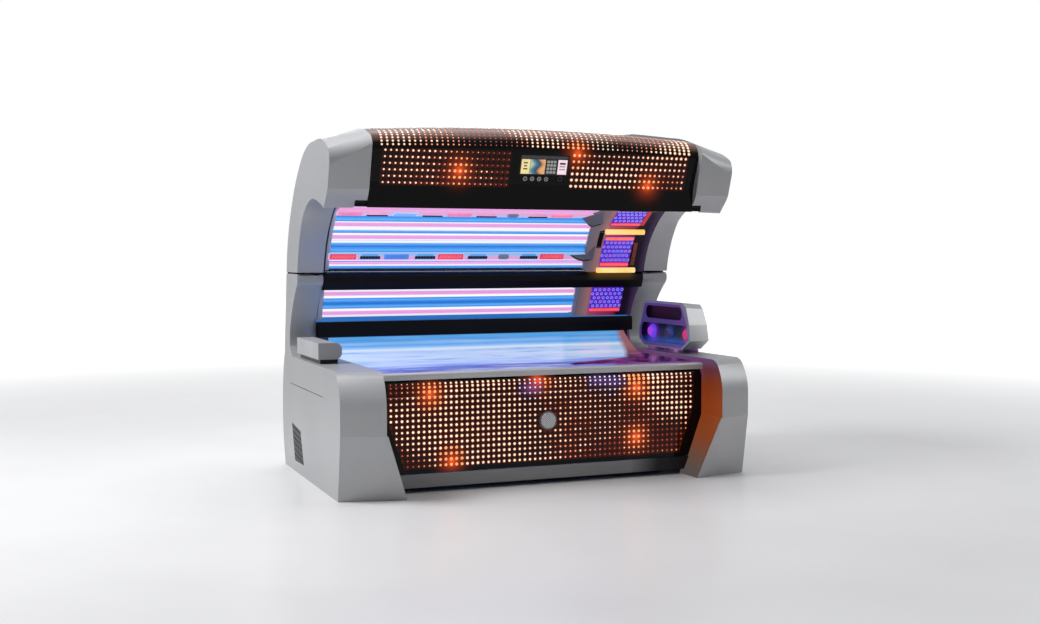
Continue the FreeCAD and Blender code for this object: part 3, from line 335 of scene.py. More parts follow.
dress(plastic("black_gloss", (0.004, 0.004, 0.005), 0.22, depth=0.02, shine=0.15),
      "canopy_top_cover", "visor_beam")
dress(metal("steel_parts", (0.55, 0.55, 0.56), 0.35), "hinge_pins",
      "hinge_spring_cartridges")
dress(plastic("frame_paint", (0.05, 0.05, 0.055), 0.45), "base_frame", "floor_pan",
      "canopy_frame")
# the gap seal is black rubber that closes the hinge gap on the tower tops and also fills it where
# only a dark shadow line shows
dress(plastic("foot_rubber", (0.02, 0.02, 0.02), 0.75), "levelling_feet", "gap_seal")
dress(plastic("inner_plastic", (0.04, 0.04, 0.045), 0.6), "front_led_board",
      "front_carrier", "control_box", "visor_led_boards", "fan_housings", "right_fan_rotor",
      "left_fan_rotor")
dress(metal("zinc_sheet", (0.6, 0.6, 0.6), 0.4), "bed_ribs", "ballasts")
dress(plastic("holder_plastic", (0.55, 0.56, 0.6), 0.45), "bed_lamp_holders",
      "back_wall_lamp_holders", "canopy_lamp_holders")

# ---- lamps and lit acrylic

PINK = (0.9, 0.36, 0.7)
WHITE = (1, 0.95, 1)
BLUE = (0.055, 0.33, 0.84)
LAMP_RADIUS, LAMP_RING = 0.019, 0.632
LAMP_PITCH, WALL_LAMP_PITCH = 4.2, 0.0397
FIRST_LAMP = 18.2
# where pink lamps sit round the tunnel, and how far the white is pushed down on the lowest
PINK_LAMPS = [(17.2, 0.016), (21.4, 0), (34, 0), (42.4, 0), (55, 0), (63.4, 0), (71.8, 0),
              (80.2, 0), (88.6, 0)]
WALL_PINK_LAMPS = (0.9341, 1.0531)
WALL_TOP = 1.13


def lamp_look(name, pinks, around, first, pitch, lean, reach, look):
    """Glowing tubes. A pink one has white flanks; it is picked by its place and read by height.

    Its white spills on its neighbours as far as reach, from a middle that leans up a little.
    """
    pick = rise = spill = 0
    for place, middle in pinks:
        chosen = abs(around - place) < pitch / 2
        pick = chosen + pick
        rise = chosen * (look.z - middle) + rise
        spill = abs(around - (place + lean)).span(reach, reach * 1.06, 1, 0) | spill
    pink = (abs(rise) * (1 / LAMP_RADIUS)).span(0, 1.25).ramp(
        (0, *PINK), (0.4, *PINK), (0.54, *WHITE), (0.86, *WHITE), (0.96, *BLUE))
    form = look.math("PINGPONG", around - first, pitch / 2) * (2 / pitch)
    blue = form.ramp((0, 0.11, 0.46, 0.96), (0.3, *BLUE), (0.62, 0.025, 0.21, 0.64),
                     (0.9, 0.012, 0.13, 0.5))
    look.paint(color=(0.04, 0.07, 0.16), rough=0.2, power=0.95,
               glow=pick.mix(spill.mix(blue, WHITE), pink))
    dress(look, name)


look = Look("canopy_tubes")
lamp_look("canopy_lamps", [(place, TUNNEL_Z + LAMP_RING * math.sin(math.radians(place)) + push)
                           for place, push in PINK_LAMPS],
          tunnel_angle(look), FIRST_LAMP, LAMP_PITCH, 0.45, 3.3, look)
look = Look("back_wall_tubes")
lamp_look("back_wall_lamps", list(zip(WALL_PINK_LAMPS, WALL_PINK_LAMPS)), look.z,
          WALL_PINK_LAMPS[0], WALL_LAMP_PITCH, 0, 0.0265, look)

look = Look("bed_tubes", color=(0.05, 0.08, 0.16), glow=(0.25, 0.5, 0.95), power=0.9)
look.paint(rough=look.uneven(6, 0.15, 0.25))
dress(look, "bed_lamps")

look = Look("lit_reflector", color=(0.1, 0.18, 0.4), metal=0.8, rough=0.32, power=0.85)
# beside a pink lamp the reflector shows white
around, on_wall, lit = tunnel_angle(look), look.z < WALL_TOP, 0
for place, push in PINK_LAMPS[1:4]:
    lit = (abs(around - place) < 2.55) | lit
for height in WALL_PINK_LAMPS:
    lit = (abs(look.z - height) < 0.026) * on_wall | lit
shade = look.texture.noise(4, 2, 0.5, (0.2, 6, 6))
look.paint(glow=lit.mix(shade.ramp((0.3, 0.015, 0.14, 0.5), (0.7, 0.04, 0.24, 0.68)), WHITE))
dress(look, "canopy_reflector", "back_wall_reflector", "bed_reflector")

look = Look("clear_acrylic", color=(0.3, 0.45, 0.85), shine=0.3, alpha=0.05)
look.paint(rough=look.uneven(30, 0.04, 0.09))
dress(look, "canopy_acrylic", "back_wall_acrylic")

# wet-looking lying surface; its light from below is painted as a glow with pale and deep blue
# streaks, and its head end is dark with painted violet and pinkish-brown reflections
look = Look("bed_acrylic", rough=0.1, shine=0.4, power=0.72)
texture, y = look.texture, look.y
lit = y.span(-0.52, 0.48).ramp(
    (0, 0.12, 0.05, 0.4), (0.05, 0.13, 0.17, 0.74), (0.2, 0.24, 0.44, 0.92),
    (0.45, 0.3, 0.48, 0.94), (0.58, 0.13, 0.13, 0.58), (0.67, 0.15, 0.15, 0.62),
    (0.7, 0.24, 0.32, 0.84), (0.745, 0.42, 0.6, 0.98), (0.82, 0.6, 0.77, 1),
    (0.88, 0.45, 0.66, 0.98), (0.905, 0.86, 0.94, 1), (0.925, 0.22, 0.58, 1),
    (0.945, 0.08, 0.38, 0.88), (0.962, 0.22, 0.6, 1), (0.985, 0.05, 0.32, 0.8),
    (1, 0.1, 0.45, 0.92))
light_streaks = texture.noise(3.2, 4, 0.6, (0.7, 9, 9))
calm = y.span(0.36, 0.4, 1, 0.25)
streaked_light = (light_streaks.span(0.46, 0.66, 0, 0.6) * calm).mix(lit, (0.8, 0.86, 1))
streaked_light = (light_streaks.span(0.44, 0.3, 0, 0.75) * calm).mix(streaked_light, (0.1, 0.26, 0.7))
# the lit part ends along a slanting line, sharp at the back and soft in front
slant = y.span(0.14, 0.21, 0.42, 0.86) + y.span(0.21, 0.48, 0, 0.065)
wave = (texture.noise(5, 2) - 0.5) * 0.22
head = (look.x - slant + wave * y.span(0.2, 0.4, 1, 0)).span(0, 0.05)
dark = texture.noise(4, 3, 0.6, (1.2, 5, 5)).ramp(
    (0.36, 0.012, 0.006, 0.03), (0.5, 0.16, 0.02, 0.14), (0.6, 0.22, 0.05, 0.3),
    (0.72, 0.5, 0.12, 0.1))
look.paint(color=head.mix((0.06, 0.13, 0.32), (0.02, 0.01, 0.03)),
           glow=head.mix(streaked_light, y.span(0.2, 0.36).mix(dark, (0.4, 0.15, 0.16))))
dress(look, "bed_acrylic")

# ---- dark dotted panels

LED_PITCH = 0.031
FRONT_LOW_ROW = 0.147
VISOR_PITCH = 0.0312
VISOR_RISE = 0.0338
VISOR_LOW_ROW = 1.682
VISOR_FIRST_COLUMN = 0.198
VISOR_COLUMNS, VISOR_ROWS = 24, 6
CURL_COLUMNS, CURL_ROWS, CURL_START, CURL_PITCH = 61, 7, 0.03, 0.02
# the middle of the top edge lies higher than its ends; the face leans forward from its fold
VISOR_LIFT, VISOR_HALF = 0.036, 0.9997
VISOR_FOLD_Y, VISOR_FOLD_Z, VISOR_SLOPE = -0.4145, 1.686, 0.358
HOT_SPOTS = ((-0.695, 0.535), (-0.57, 0.165), (-0.062, 0.59), (0.558, 0.525), (0.556, 0.238))
VIOLET_SPOTS = ((0.31, 0.575), (0.41, 0.565), (-0.1, 0.545))
VISOR_SPOTS = ((-0.486, 1.752), (0.216, 1.865), (0.69, 1.692))


def patchy(x, z, seed):
    """Smooth values from 0 to 1 across a panel, like lamps of uneven brightness."""
    value = 0
    for i in range(1, 5):
        value += math.sin(x * (3.1 * i + seed) + z * 5.3 * i + seed * i) / i
        value += math.cos(z * (7.7 * i - seed) - x * 2.3 * i + seed * 2) / i
    return min(1, max(0, 0.47 + value / 3.7))


def bell(x, z, spots, spread, flat=1):
    """A soft bump over each spot; flat above 1 makes it lower than it is wide."""
    total = 0
    for spot_x, spot_z in spots:
        dx = (x - spot_x) * (1 / spread)
        dz = (z - spot_z) * (flat / spread)
        total = x.tree.math("POWER", math.e, (dx * dx + dz * dz) * -1) + total
    return total


def dot_halo(x, z, first_x, pitch_x, first_z, pitch_z, spread):
    """Faint light round every dot of the grid behind the glass."""
    dx = x.tree.math("PINGPONG", x - first_x, pitch_x / 2)
    dz = x.tree.math("PINGPONG", z - first_z, pitch_z / 2)
    return x.tree.math("POWER", math.e, (dx * dx + dz * dz) * (-1 / spread ** 2))


def dark_glass(name, spots, violet, grid, low, high, reach=-1, curl=None):
    """Tinted gloss: red haze round bright lamps, and a dull red halo round each dot.

    grid holds the halo's first place and pitch in x and z, reach how near the middle it comes, and
    curl the heights over which a painted pale pink reflection band rises along the visor's curled
    top.
    """
    look = Look(name, color=(0.004, 0.0035, 0.004), shine=0.14, power=1)
    x, z = look.x, look.z
    inside = (abs(x) < z.span(0.147, 0.4, 0.845, 0.935)) * ((z > low) * (z < high))
    patches = look.texture.noise(2.4, 2).span(0.32, 0.68, 0.25, 1)
    halo = dot_halo(x, z, *grid, 0.012) * (inside * (abs(x) > reach)) * patches
    heat = bell(x, z, spots, 0.062) * 0.3 + bell(x, z, spots, 0.024) * 0.55
    haze = heat.of((1, 0.1, 0.015)).plus(halo.of((0.13, 0.014, 0.004)))
    if violet:
        haze = haze.plus(bell(x, z, violet, 0.055, 2).of((0.055, 0.03, 0.13)))
    # painted reflection: a pale pink band along the visor's curled top edge
    if curl:
        haze = haze.plus((z + x * x * VISOR_LIFT).span(*curl).of((0.26, 0.15, 0.13)))
    look.paint(rough=look.uneven(40, 0.05, 0.09), glow=haze)
    return look


dress(dark_glass("front_dark_glass", HOT_SPOTS, VIOLET_SPOTS,
                 (LED_PITCH / 2, LED_PITCH, FRONT_LOW_ROW, LED_PITCH), 0.13, 0.6),
      "front_glass")
dress(dark_glass("visor_dark_glass", VISOR_SPOTS, None,
                 (VISOR_FIRST_COLUMN, VISOR_PITCH, VISOR_LOW_ROW, VISOR_RISE), 1.665, 1.868,
                 0.185, (1.925, 1.985)), "visor_glass")

# ---- mesh helpers


@contextmanager
def piece(name, body, slot, *looks):
    """Give an empty bmesh to build in, and turn it into an object that rides on a body."""
    mesh = bmesh.new()
    yield mesh
    bmesh.ops.recalc_face_normals(mesh, faces=mesh.faces)
    data = bpy.data.meshes.new(name)
    mesh.to_mesh(data)
    mesh.free()
    for each in looks:
        data.materials.append(each.material)
    item = add_object(name, data)
    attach(item, body)


class Place:
    """A flat local frame: a centre, two directions in the surface and the way out of it."""

    def __init__(self, centre, right, out):
        self.centre = Vector(centre)
        self.out = Vector(out).normalized()
        self.right = Vector(right).normalized()
        self.up = self.out.cross(self.right)

    def at(self, u, v, w=0):
        return self.centre + self.right * u + self.up * v + self.out * w

    def moved(self, u, v, w=0):
        return Place(self.at(u, v, w), self.right, self.out)


class Surface:
    """Finds places on a CAD node's skin, so that small pieces sit on it exactly."""

    def __init__(self, name):
        data = nodes[name].data
        self.tree = BVHTree.FromPolygons([v.co.copy() for v in data.vertices],
                                         [tuple(face.vertices) for face in data.polygons])

    def near(self, point):
        spot, out = self.tree.find_nearest(Vector(point))[:2]
        return Place(spot, (1, 0, 0), out)


def ring(mesh, place, points, height):
    return [mesh.verts.new(place.at(u, v, height)) for u, v in points]


def bridge(mesh, rings, look=0):
    """Skin the rings in turn."""
    for low, high in zip(rings, rings[1:]):
        for i in range(len(low)):
            j = (i + 1) % len(low)
            mesh.faces.new((low[i], low[j], high[j], high[i])).material_index = look


def close(mesh, rings, look=0):
    """Skin the rings in turn and put a flat face on both ends."""
    bridge(mesh, rings, look)
    for points in (rings[-1], rings[0][::-1]):
        mesh.faces.new(points).material_index = look


def rounded(half_u, half_v, corner, steps=3):
    """A rounded rectangle's outline, counter-clockwise."""
    corner = min(corner, half_u, half_v)
    points = []
    for k, (side_u, side_v) in enumerate(((1, -1), (1, 1), (-1, 1), (-1, -1))):
        for i in range(steps + 1):
            turn = math.pi / 2 * (k - 1 + i / steps)
            points.append((side_u * (half_u - corner) + corner * math.cos(turn),
                           side_v * (half_v - corner) + corner * math.sin(turn)))
    return points


def turned(mesh, place, profile, sides):
    """The rings of a turned shape, from its radii and heights."""
    turns = [2 * math.pi * i / sides for i in range(sides)]
    return [ring(mesh, place, [(radius * math.cos(turn), radius * math.sin(turn))
                               for turn in turns], height) for radius, height in profile]


def pad(mesh, place, half_u, half_v, height, corner=0.003, edge=0.001, sink=0.0008, steps=3,
        look=0):
    """A low rounded block with softened edges, its foot sunk a little into what carries it."""
    outline = rounded(half_u, half_v, corner, steps)
    inner = rounded(half_u - edge, half_v - edge, max(corner - edge, 0.0002), steps)
    close(mesh, [ring(mesh, place, outline, -sink), ring(mesh, place, outline, height - edge),
                 ring(mesh, place, inner, height)], look)


def dome(mesh, place, radius, height, sides=8, sink=0.0004, look=0, rim=None):
    """A small lens or button head, with its rim in a look of its own if one is given."""
    rings = turned(mesh, place, ((radius, -sink), (radius, height * 0.35),
                                 (radius * 0.66, height * 0.86)), sides)
    bridge(mesh, rings, look if rim is None else rim)
    tip = mesh.verts.new(place.at(0, 0, height))
    for i in range(sides):
        mesh.faces.new((rings[-1][i], rings[-1][(i + 1) % sides], tip)).material_index = look
    mesh.faces.new(rings[0][::-1]).material_index = look


def hoop(mesh, place, outer, inner, height, sides=12, sink=0.0004, look=0):
    """A raised ring, such as a lens bezel."""
    rings = turned(mesh, place, ((outer, -sink), (outer, height * 0.7),
                                 ((outer + inner) / 2, height), (inner, height * 0.7),
                                 (inner, -sink)), sides)
    bridge(mesh, rings + rings[:1], look)


def ribbon(mesh, stations):
    """Skin a closed section along stations; each station is a list of points."""
    close(mesh, [[mesh.verts.new(point) for point in station] for station in stations])


def walk(points, travel):
    """The point that lies a given way along a run of straight pieces."""
    for a, b in zip(points, points[1:]):
        step = math.dist(a, b)
        if travel <= step:
            share = travel / step
            return tuple(p + (q - p) * share for p, q in zip(a, b))
        travel -= step
    return points[-1]


def glow(name, color, strength, vary=0.25, scale=9, roughness=0.3):
    """A lit plastic whose brightness drifts from place to place."""
    look = Look(name, color=scaled(color, 0.4), glow=color)
    drift = look.texture.noise(scale, 2)
    look.paint(rough=look.uneven(50, roughness - 0.05, roughness + 0.05),
               power=drift.span(0.35, 0.65, strength * (1 - vary), strength * (1 + vary)))
    return look


# ---- front panel lights

rng = random.Random(7)
LED_LOOKS = [glow("led_" + name, color, strength, 0.12, 5) for name, color, strength in (
    ("warm_white", (1, 0.84, 0.7), 1.05), ("peach", (1, 0.47, 0.24), 0.9),
    ("dim_red", (0.55, 0.1, 0.05), 0.8), ("hot_orange", (1, 0.38, 0.14), 1.1),
    ("cold_white", (0.8, 0.76, 1), 0.95))]
WARM, PEACH, DIM, HOT, COLD = range(5)
LED_RIMS = (PEACH, DIM, DIM, HOT, COLD)


def led_dot(mesh, place, x, z, seed, hot, violet=()):
    """One dot: its size and colour come from its place on the panel."""
    def near(spots, reach):
        return sum(math.exp(-((x - sx) ** 2 + (z - sz) ** 2) / reach ** 2) for sx, sz in spots)
    heat = near(hot, 0.08)
    bright = min(1, max(patchy(x, z, seed) + rng.uniform(-0.08, 0.08), heat))
    if near(violet, 0.075) > 0.35:
        bright, look = min(bright, 0.35), COLD
    elif heat > 0.3:
        look = HOT
    elif bright < 0.16:
        look = DIM
    else:
        look = PEACH if bright < 0.36 + 0.14 * math.sin(9 * x + 4 * z) else WARM
    dome(mesh, place, 0.0034 + 0.0058 * bright, 0.0009, 10, look=look, rim=LED_RIMS[look])


FRONT_ROWS = [FRONT_LOW_ROW + row * LED_PITCH for row in range(14)] + [0.5745, 0.5975]
FRONT_COLUMNS = 60
CAP_Z, CAP_CLEARANCE = 0.36, 0.062

with piece("front_lights", "base", "circuit_board", *LED_LOOKS) as mesh:
    skin = Surface("front_glass")
    middle = (FRONT_COLUMNS - 1) / 2
    for row, z in enumerate(FRONT_ROWS):
        widest = 30 - (row < 8) - (row < 4) - (row < 2)
        for column in range(FRONT_COLUMNS):
            x = (column - middle) * LED_PITCH
            if abs(column - middle) > widest or math.hypot(x, z - CAP_Z) < CAP_CLEARANCE:
                continue
            led_dot(mesh, skin.near((x, FRONT_Y - 0.002, z)), x, z, 1.7, HOT_SPOTS, VIOLET_SPOTS)

# ---- visor and display


def visor_lift(x):
    """How much higher the visor's top edge is at x than at its ends."""
    return VISOR_LIFT * (1 - (x / VISOR_HALF) ** 2)


def visor_curl(x):
    """Points just outside the visor's rounded top edge, from its face to the top cover."""
    lift = visor_lift(x)
    return [(-0.4735, 1.848 + lift / 2), (-0.4735, 1.88 + 0.62 * lift),
            (-0.4645, 1.908 + 0.78 * lift), (-0.447, 1.932 + 0.87 * lift),
            (-0.4205, 1.951 + 0.94 * lift), (-0.3745, 1.964 + lift)]


with piece("visor_lights", "canopy", "circuit_board", *LED_LOOKS) as mesh:
    skin = Surface("visor_glass")
    dots = []
    for side in (-1, 1):
        for column in range(VISOR_COLUMNS):
            for row in range(VISOR_ROWS):
                z = VISOR_LOW_ROW + VISOR_RISE * row
                dots.append((side * (VISOR_FIRST_COLUMN + VISOR_PITCH * column),
                             VISOR_FOLD_Y - VISOR_SLOPE * (z - VISOR_FOLD_Z), z))
    for column in range(CURL_COLUMNS):
        x = (column - (CURL_COLUMNS - 1) // 2) * VISOR_PITCH
        dots += [(x, *walk(visor_curl(x), CURL_START + CURL_PITCH * row))
                 for row in range(CURL_ROWS)]
    for x, y, z in dots:
        led_dot(mesh, skin.near((x, y, z)), x, z, 3.1, VISOR_SPOTS)


def visor_spot(x, share):
    """A place on the middle of the visor's sloping face."""
    a, b = (-0.4135, VISOR_FOLD_Z), (-0.4715, 1.848 + visor_lift(x) / 2)
    return Place((x, a[0] + (b[0] - a[0]) * share, a[1] + (b[1] - a[1]) * share), (1, 0, 0),
                 (0, a[1] - b[1], b[0] - a[0]))


SCREEN_TONES = [glow("screen_" + name, color, 0.9, 0.1, 30, 0.15) for name, color in (
    ("ground", (0.006, 0.006, 0.008)), ("bar", (0.03, 0.03, 0.036)),
    ("yellow", (0.8, 0.66, 0.28)), ("grey", (0.26, 0.26, 0.25)),
    ("rose", (0.9, 0.68, 0.74)), ("ink", (0.04, 0.05, 0.05)))]
# each panel's middle, half size and look
SCREEN_PANELS = ((0, 0.046, 0.14, 0.008, 2), (-0.114, -0.009, 0.026, 0.042, 3),
                 (-0.04, -0.009, 0.046, 0.042, 0), (0.044, -0.009, 0.034, 0.042, 1),
                 (0.112, -0.009, 0.028, 0.042, 5))


def tile(u, v, half_u, half_v, look, lift=0.0009):
    pad(mesh, face.moved(u, v, lift), half_u, half_v, 0.0004, 0.002, 0.0002, look=look)


# a generic touch screen: three panels and a grid of keys, with touch rings below
middle = visor_spot(0.018, 0.6)
face = middle.moved(0, 0, 0.0022)
picture = Look("screen_scene", color=(0.02, 0.02, 0.02), rough=0.15, power=0.9)
slope = picture.x + picture.math("SINE", picture.z * 90) * 0.012
picture.paint(glow=slope.span(-0.068, 0.04).ramp(
    (0, 0.5, 0.6, 0.45), (0.22, 0.05, 0.2, 0.3), (0.45, 0.02, 0.05, 0.1),
    (0.68, 0.85, 0.38, 0.14), (0.86, 0.75, 0.5, 0.18), (1, 0.4, 0.3, 0.12)))

with piece("display_bezel", "canopy", "display",
           plastic("screen_bezel", (0.006, 0.006, 0.008), 0.2, shine=0.2)) as mesh:
    pad(mesh, middle, 0.152, 0.06, 0.0022, 0.006, 0.0008)

with piece("display_screen", "canopy", "display", picture, *SCREEN_TONES) as mesh:
    pad(mesh, face, 0.146, 0.055, 0.0005, 0.003, 0.0002, look=1)
    for panel in SCREEN_PANELS:
        tile(*panel, 0.0005)
    for i in range(3):
        tile(-0.114, 0.012 - 0.017 * i, 0.013 - 0.003 * (i == 1), 0.004, 6)
        tile(0.112, 0.012 - 0.017 * i, 0.018, 0.004 + 0.002 * (i == 0), 4 if i else 6)
    for row in range(4):
        for column in range(3):
            tile(0.024 + 0.02 * column, 0.021 - 0.02 * row, 0.0082, 0.0074, 4)

with piece("display_touch_keys", "canopy", "display",
           glow("key_grey", (0.42, 0.42, 0.43), 0.5)) as mesh:
    for i in range(4):
        spot = visor_spot(-0.089 + 0.043 * i, 0.175)
        hoop(mesh, spot, 0.0125, 0.0096, 0.001, 24)
        pad(mesh, spot, 0.001 + 0.0012 * i, 0.0062 - 0.0012 * i, 0.0009, 0.001, 0.0003)

with piece("display_reader_ring", "canopy", "display",
           glow("reader_grey", (0.06, 0.06, 0.065), 0.6)) as mesh:
    hoop(mesh, visor_spot(0.126, 0.19), 0.013, 0.0112, 0.001, 24)

# ---- strips along the tunnel

# a lit plastic and the darker or brighter dots on it, in turn
STRIP_LOOKS = [glow(name + part, color, strength, 0.1) for name, *colors in (
    ("lit_pink", (0.83, 0.25, 0.45), (0.62, 0.09, 0.2)),
    ("lit_pale_blue", (0.33, 0.58, 0.95), (0.05, 0.14, 0.58)),
    ("lit_red", (0.74, 0.03, 0.08), (0.95, 0.22, 0.25)),
    ("lit_blue", (0.09, 0.24, 0.7), (0.03, 0.09, 0.42)))
               for part, color, strength in zip(("", "_dot"), colors, (0.95, 0.9))]
recess_pale = plastic("recess_pale", (0.2, 0.2, 0.225), 0.4)
slot_black = plastic("slot_black", (0.004, 0.004, 0.005), 0.4, shine=0.2)
sensor_grey = metal("sensor_grey", (0.42, 0.45, 0.52), 0.35, 0.3)
# the vents' sloped frames glow: painted highlights, pale pink on the upper strip and blue on the
# lower
pink_vent_glow = glow("pink_vent_glow", (0.78, 0.36, 0.6), 0.8, 0.1)
blue_vent_glow = glow("blue_vent_glow", (0.1, 0.34, 0.72), 0.8, 0.1)

STRIP_FACE = 0.585
# what lies along a strip: lamps of the strip's own colour (L), blue ones (B), vents (V) and a
# sensor (S); then each strip's angle round the tunnel and where each of these begins and ends
STRIP_KINDS = "LVBVLVSVL"
UPPER_STRIP = (56, (-1.04, -0.89, -0.873, -0.735, -0.711, -0.559, -0.534, -0.398, -0.379, -0.222,
                    -0.196, -0.055, -0.004, 0.088, 0.14, 0.278, 0.29, 0.441))
LOWER_STRIP = (23.8, (-1.036, -0.879, -0.86, -0.725, -0.707, -0.551, -0.519, -0.379, -0.367,
                      -0.205, -0.179, -0.041, 0.018, 0.105, 0.166, 0.296, 0.308, 0.47))


def tunnel_place(x, angle, radius=STRIP_FACE):
    turn = math.radians(angle)
    return Place((x, TUNNEL_Y + radius * math.cos(turn), TUNNEL_Z + radius * math.sin(turn)),
                 (1, 0, 0), (0, -math.cos(turn), -math.sin(turn)))


def trapezium(mesh, place, half_u, half_v, slant, height, look):
    """A low block with sloping ends, like a moulded recess frame."""
    top_u = half_u - slant
    low = [(-half_u, -half_v), (half_u, -half_v), (top_u, half_v), (-top_u, half_v)]
    high = [(-half_u + 0.004, 0.002 - half_v), (half_u - 0.004, 0.002 - half_v),
            (top_u - 0.002, half_v - 0.002), (0.002 - top_u, half_v - 0.002)]
    close(mesh, [ring(mesh, place, low, -0.0008), ring(mesh, place, high, height)], look)


with (piece("strip_sensors", "canopy", "vent_strip", sensor_grey) as sensors,
      piece("strip_vents", "canopy", "vent_strip", pink_vent_glow, blue_vent_glow, slot_black,
            recess_pale) as vents,
      piece("strip_lights", "canopy", "face_panel", *STRIP_LOOKS) as leds):
    for (angle, ends), upper in ((UPPER_STRIP, True), (LOWER_STRIP, False)):
        looks = {"L": 0, "B": 2} if upper else {"L": 4, "B": 6}
        for start, end, kind in zip(ends[::2], ends[1::2], STRIP_KINDS):
            place = tunnel_place((start + end) / 2, angle)
            half = (end - start) / 2
            if kind == "S":
                pad(sensors, place, half * 0.8, 0.017, 0.004, 0.016, 0.0015, steps=6)
                knob = place.moved(0, 0, 0.004)
                hoop(sensors, knob, 0.012, 0.008, 0.0026, 20)
                dome(sensors, knob, 0.0078, 0.0034, 16)
            elif kind == "V":
                # painted highlight on the vent's sloped frame
                trapezium(vents, place, half, 0.019, 0.02, 0.0022, 0 if upper else 1)
                mouth = place.moved(0, -0.0125 if upper else -0.004, 0.0022)
                high = 0.0048 if upper else 0.0085
                pad(vents, mouth, half - 0.006, high, 0.003, 0.003, 0.0008, look=2)
                for i in range(6):
                    fin = mouth.moved((i - 2.5) * (half - 0.012) / 3, 0, 0.003)
                    pad(vents, fin, 0.0022, high * 0.5, 0.0008, 0.001, 0.0003, look=3)
            else:
                look = looks[kind]
                pad(leds, place, half, 0.0175, 0.0024, 0.006, 0.001, look=look)
                for i in range(8):
                    for j in (-1, 1):
                        spot = place.moved((i - 3.5) * (half - 0.008) / 4 + 0.003 * j,
                                           j * 0.0055 - 0.004 * upper, 0.0024)
                        dome(leds, spot, 0.0048, 0.0016, 8, look=look + 1)

# painted light: the strip plastic glows in pink and blue bands by its angle round the tunnel
look = Look("strip_plastic", rough=0.4, power=0.8)
look.paint(color=look.texture.noise(12).mix((0.2, 0.16, 0.24), (0.25, 0.2, 0.28)),
           glow=tunnel_angle(look).span(20, 60).ramp(
               (0, 0.86, 0.34, 0.62), (0.09, 0.8, 0.36, 0.66), (0.13, 0.22, 0.52, 0.9),
               (0.8, 0.22, 0.52, 0.9), (0.88, 0.45, 0.55, 0.9), (0.92, 0.86, 0.36, 0.6),
               (1, 0.86, 0.36, 0.6)))
dress(look, "canopy_vent_strips")

# ---- facial and shoulder lights

GRID_LOOKS = [glow(name, color, 0.95, 0.12) for name, color in (
    ("ring_violet", (0.5, 0.46, 1)), ("ring_magenta", (0.78, 0.36, 0.95)),
    ("panel_red", (0.8, 0.022, 0.05)), ("panel_orange", (0.95, 0.13, 0.03)),
    ("seed_red", (1, 0.25, 0.22)))]

look = Look("panel_violet", color=(0.05, 0.02, 0.2), power=0.9)
look.paint(rough=look.uneven(40, 0.2, 0.3), glow=look.texture.noise(6, 1).ramp(
    (0.35, 0.045, 0.014, 0.56), (0.6, 0.09, 0.014, 0.5), (0.75, 0.26, 0.02, 0.42)))
dress(look, "face_light_panels", "back_wall_light_panel")

PANEL_FACE = 0.59
PANEL_START, PANEL_WIDTH = 0.735, 0.205
WALL_PANEL_START, WALL_PANEL_WIDTH = 0.741, 0.225
GRID_COLUMNS = 7
# each panel's angles round the tunnel and its rows
FACIAL_PANELS = ((16.8, 37.8, "rvvvvvo"), (46.6, 62, "rvvvv"), (69, 85, "rvvvv"))
WALL_ROWS = "rvvvvv"


def light_grid(mesh, place_at, start, width, kinds):
    """Rows of ringed lenses (v), and red (r) or orange (o) bands with pairs of seeds."""
    pitch = width / GRID_COLUMNS
    for row, kind in enumerate(kinds):
        if kind in "ro":
            band = place_at(start + width / 2, row)
            pad(mesh, band, width / 2 - 0.002, 0.013, 0.001, 0.002, 0.0004,
                look=2 if kind == "r" else 3)
        shift = 0.5 if kind != "v" else 0.25 + 0.5 * (row % 2)
        for column in range(GRID_COLUMNS):
            place = place_at(start + pitch * (column + shift), row)
            if kind == "v":
                hoop(mesh, place, 0.0092, 0.007, 0.0016, 12, look=int((row + column) % 4 == 0))
            else:
                for side in (-1, 1):
                    spot = place.moved(side * pitch / 4, 0, 0.001)
                    hoop(mesh, spot, 0.0068, 0.0046, 0.0012, 10, look=4)


with piece("facial_lenses", "canopy", "face_panel", *GRID_LOOKS) as mesh:
    for start, end, kinds in FACIAL_PANELS:
        step = (end - start) / len(kinds)
        light_grid(mesh, lambda x, row: tunnel_place(x, start + step * (row + 0.5), PANEL_FACE),
                   PANEL_START, PANEL_WIDTH, kinds)


WALL_FOOT_Y, WALL_FOOT_Z = 0.5075, 0.8803
WALL_LEAN_Y, WALL_LEAN_Z = 0.9267, 0.3757
PANEL_LOW, PANEL_HIGH = 0.16, 0.97


def wall_place(x, share, depth):
    """A place on the back wall's plane: share up it, depth behind its face."""
    y = WALL_FOOT_Y - 0.08 * share + WALL_LEAN_Y * depth
    z = WALL_FOOT_Z + 0.1974 * share + WALL_LEAN_Z * depth
    return Place((x, y, z), (1, 0, 0), (0, -WALL_LEAN_Y, -WALL_LEAN_Z))


with piece("shoulder_lenses", "base", "face_panel", *GRID_LOOKS) as mesh:
    step = (PANEL_HIGH - PANEL_LOW) / len(WALL_ROWS)
    light_grid(mesh, lambda x, row: wall_place(x, PANEL_LOW + step * (row + 0.5), 0.004),
               WALL_PANEL_START, WALL_PANEL_WIDTH, WALL_ROWS)

# grey moulding round the facial lights, near black beyond them; near them its colour warms and it
# carries a painted pink and red glow of their light
housing = Look("face_housing_plastic", shine=0.15, power=0.8)
along = housing.x.span(0.6, 1.06)
base = along.ramp((0, 0.2, 0.2, 0.23), (0.22, 0.22, 0.18, 0.17), (0.7, 0.08, 0.04, 0.04),
                  (0.76, 0.004, 0.003, 0.005), (1, 0.004, 0.003, 0.006))
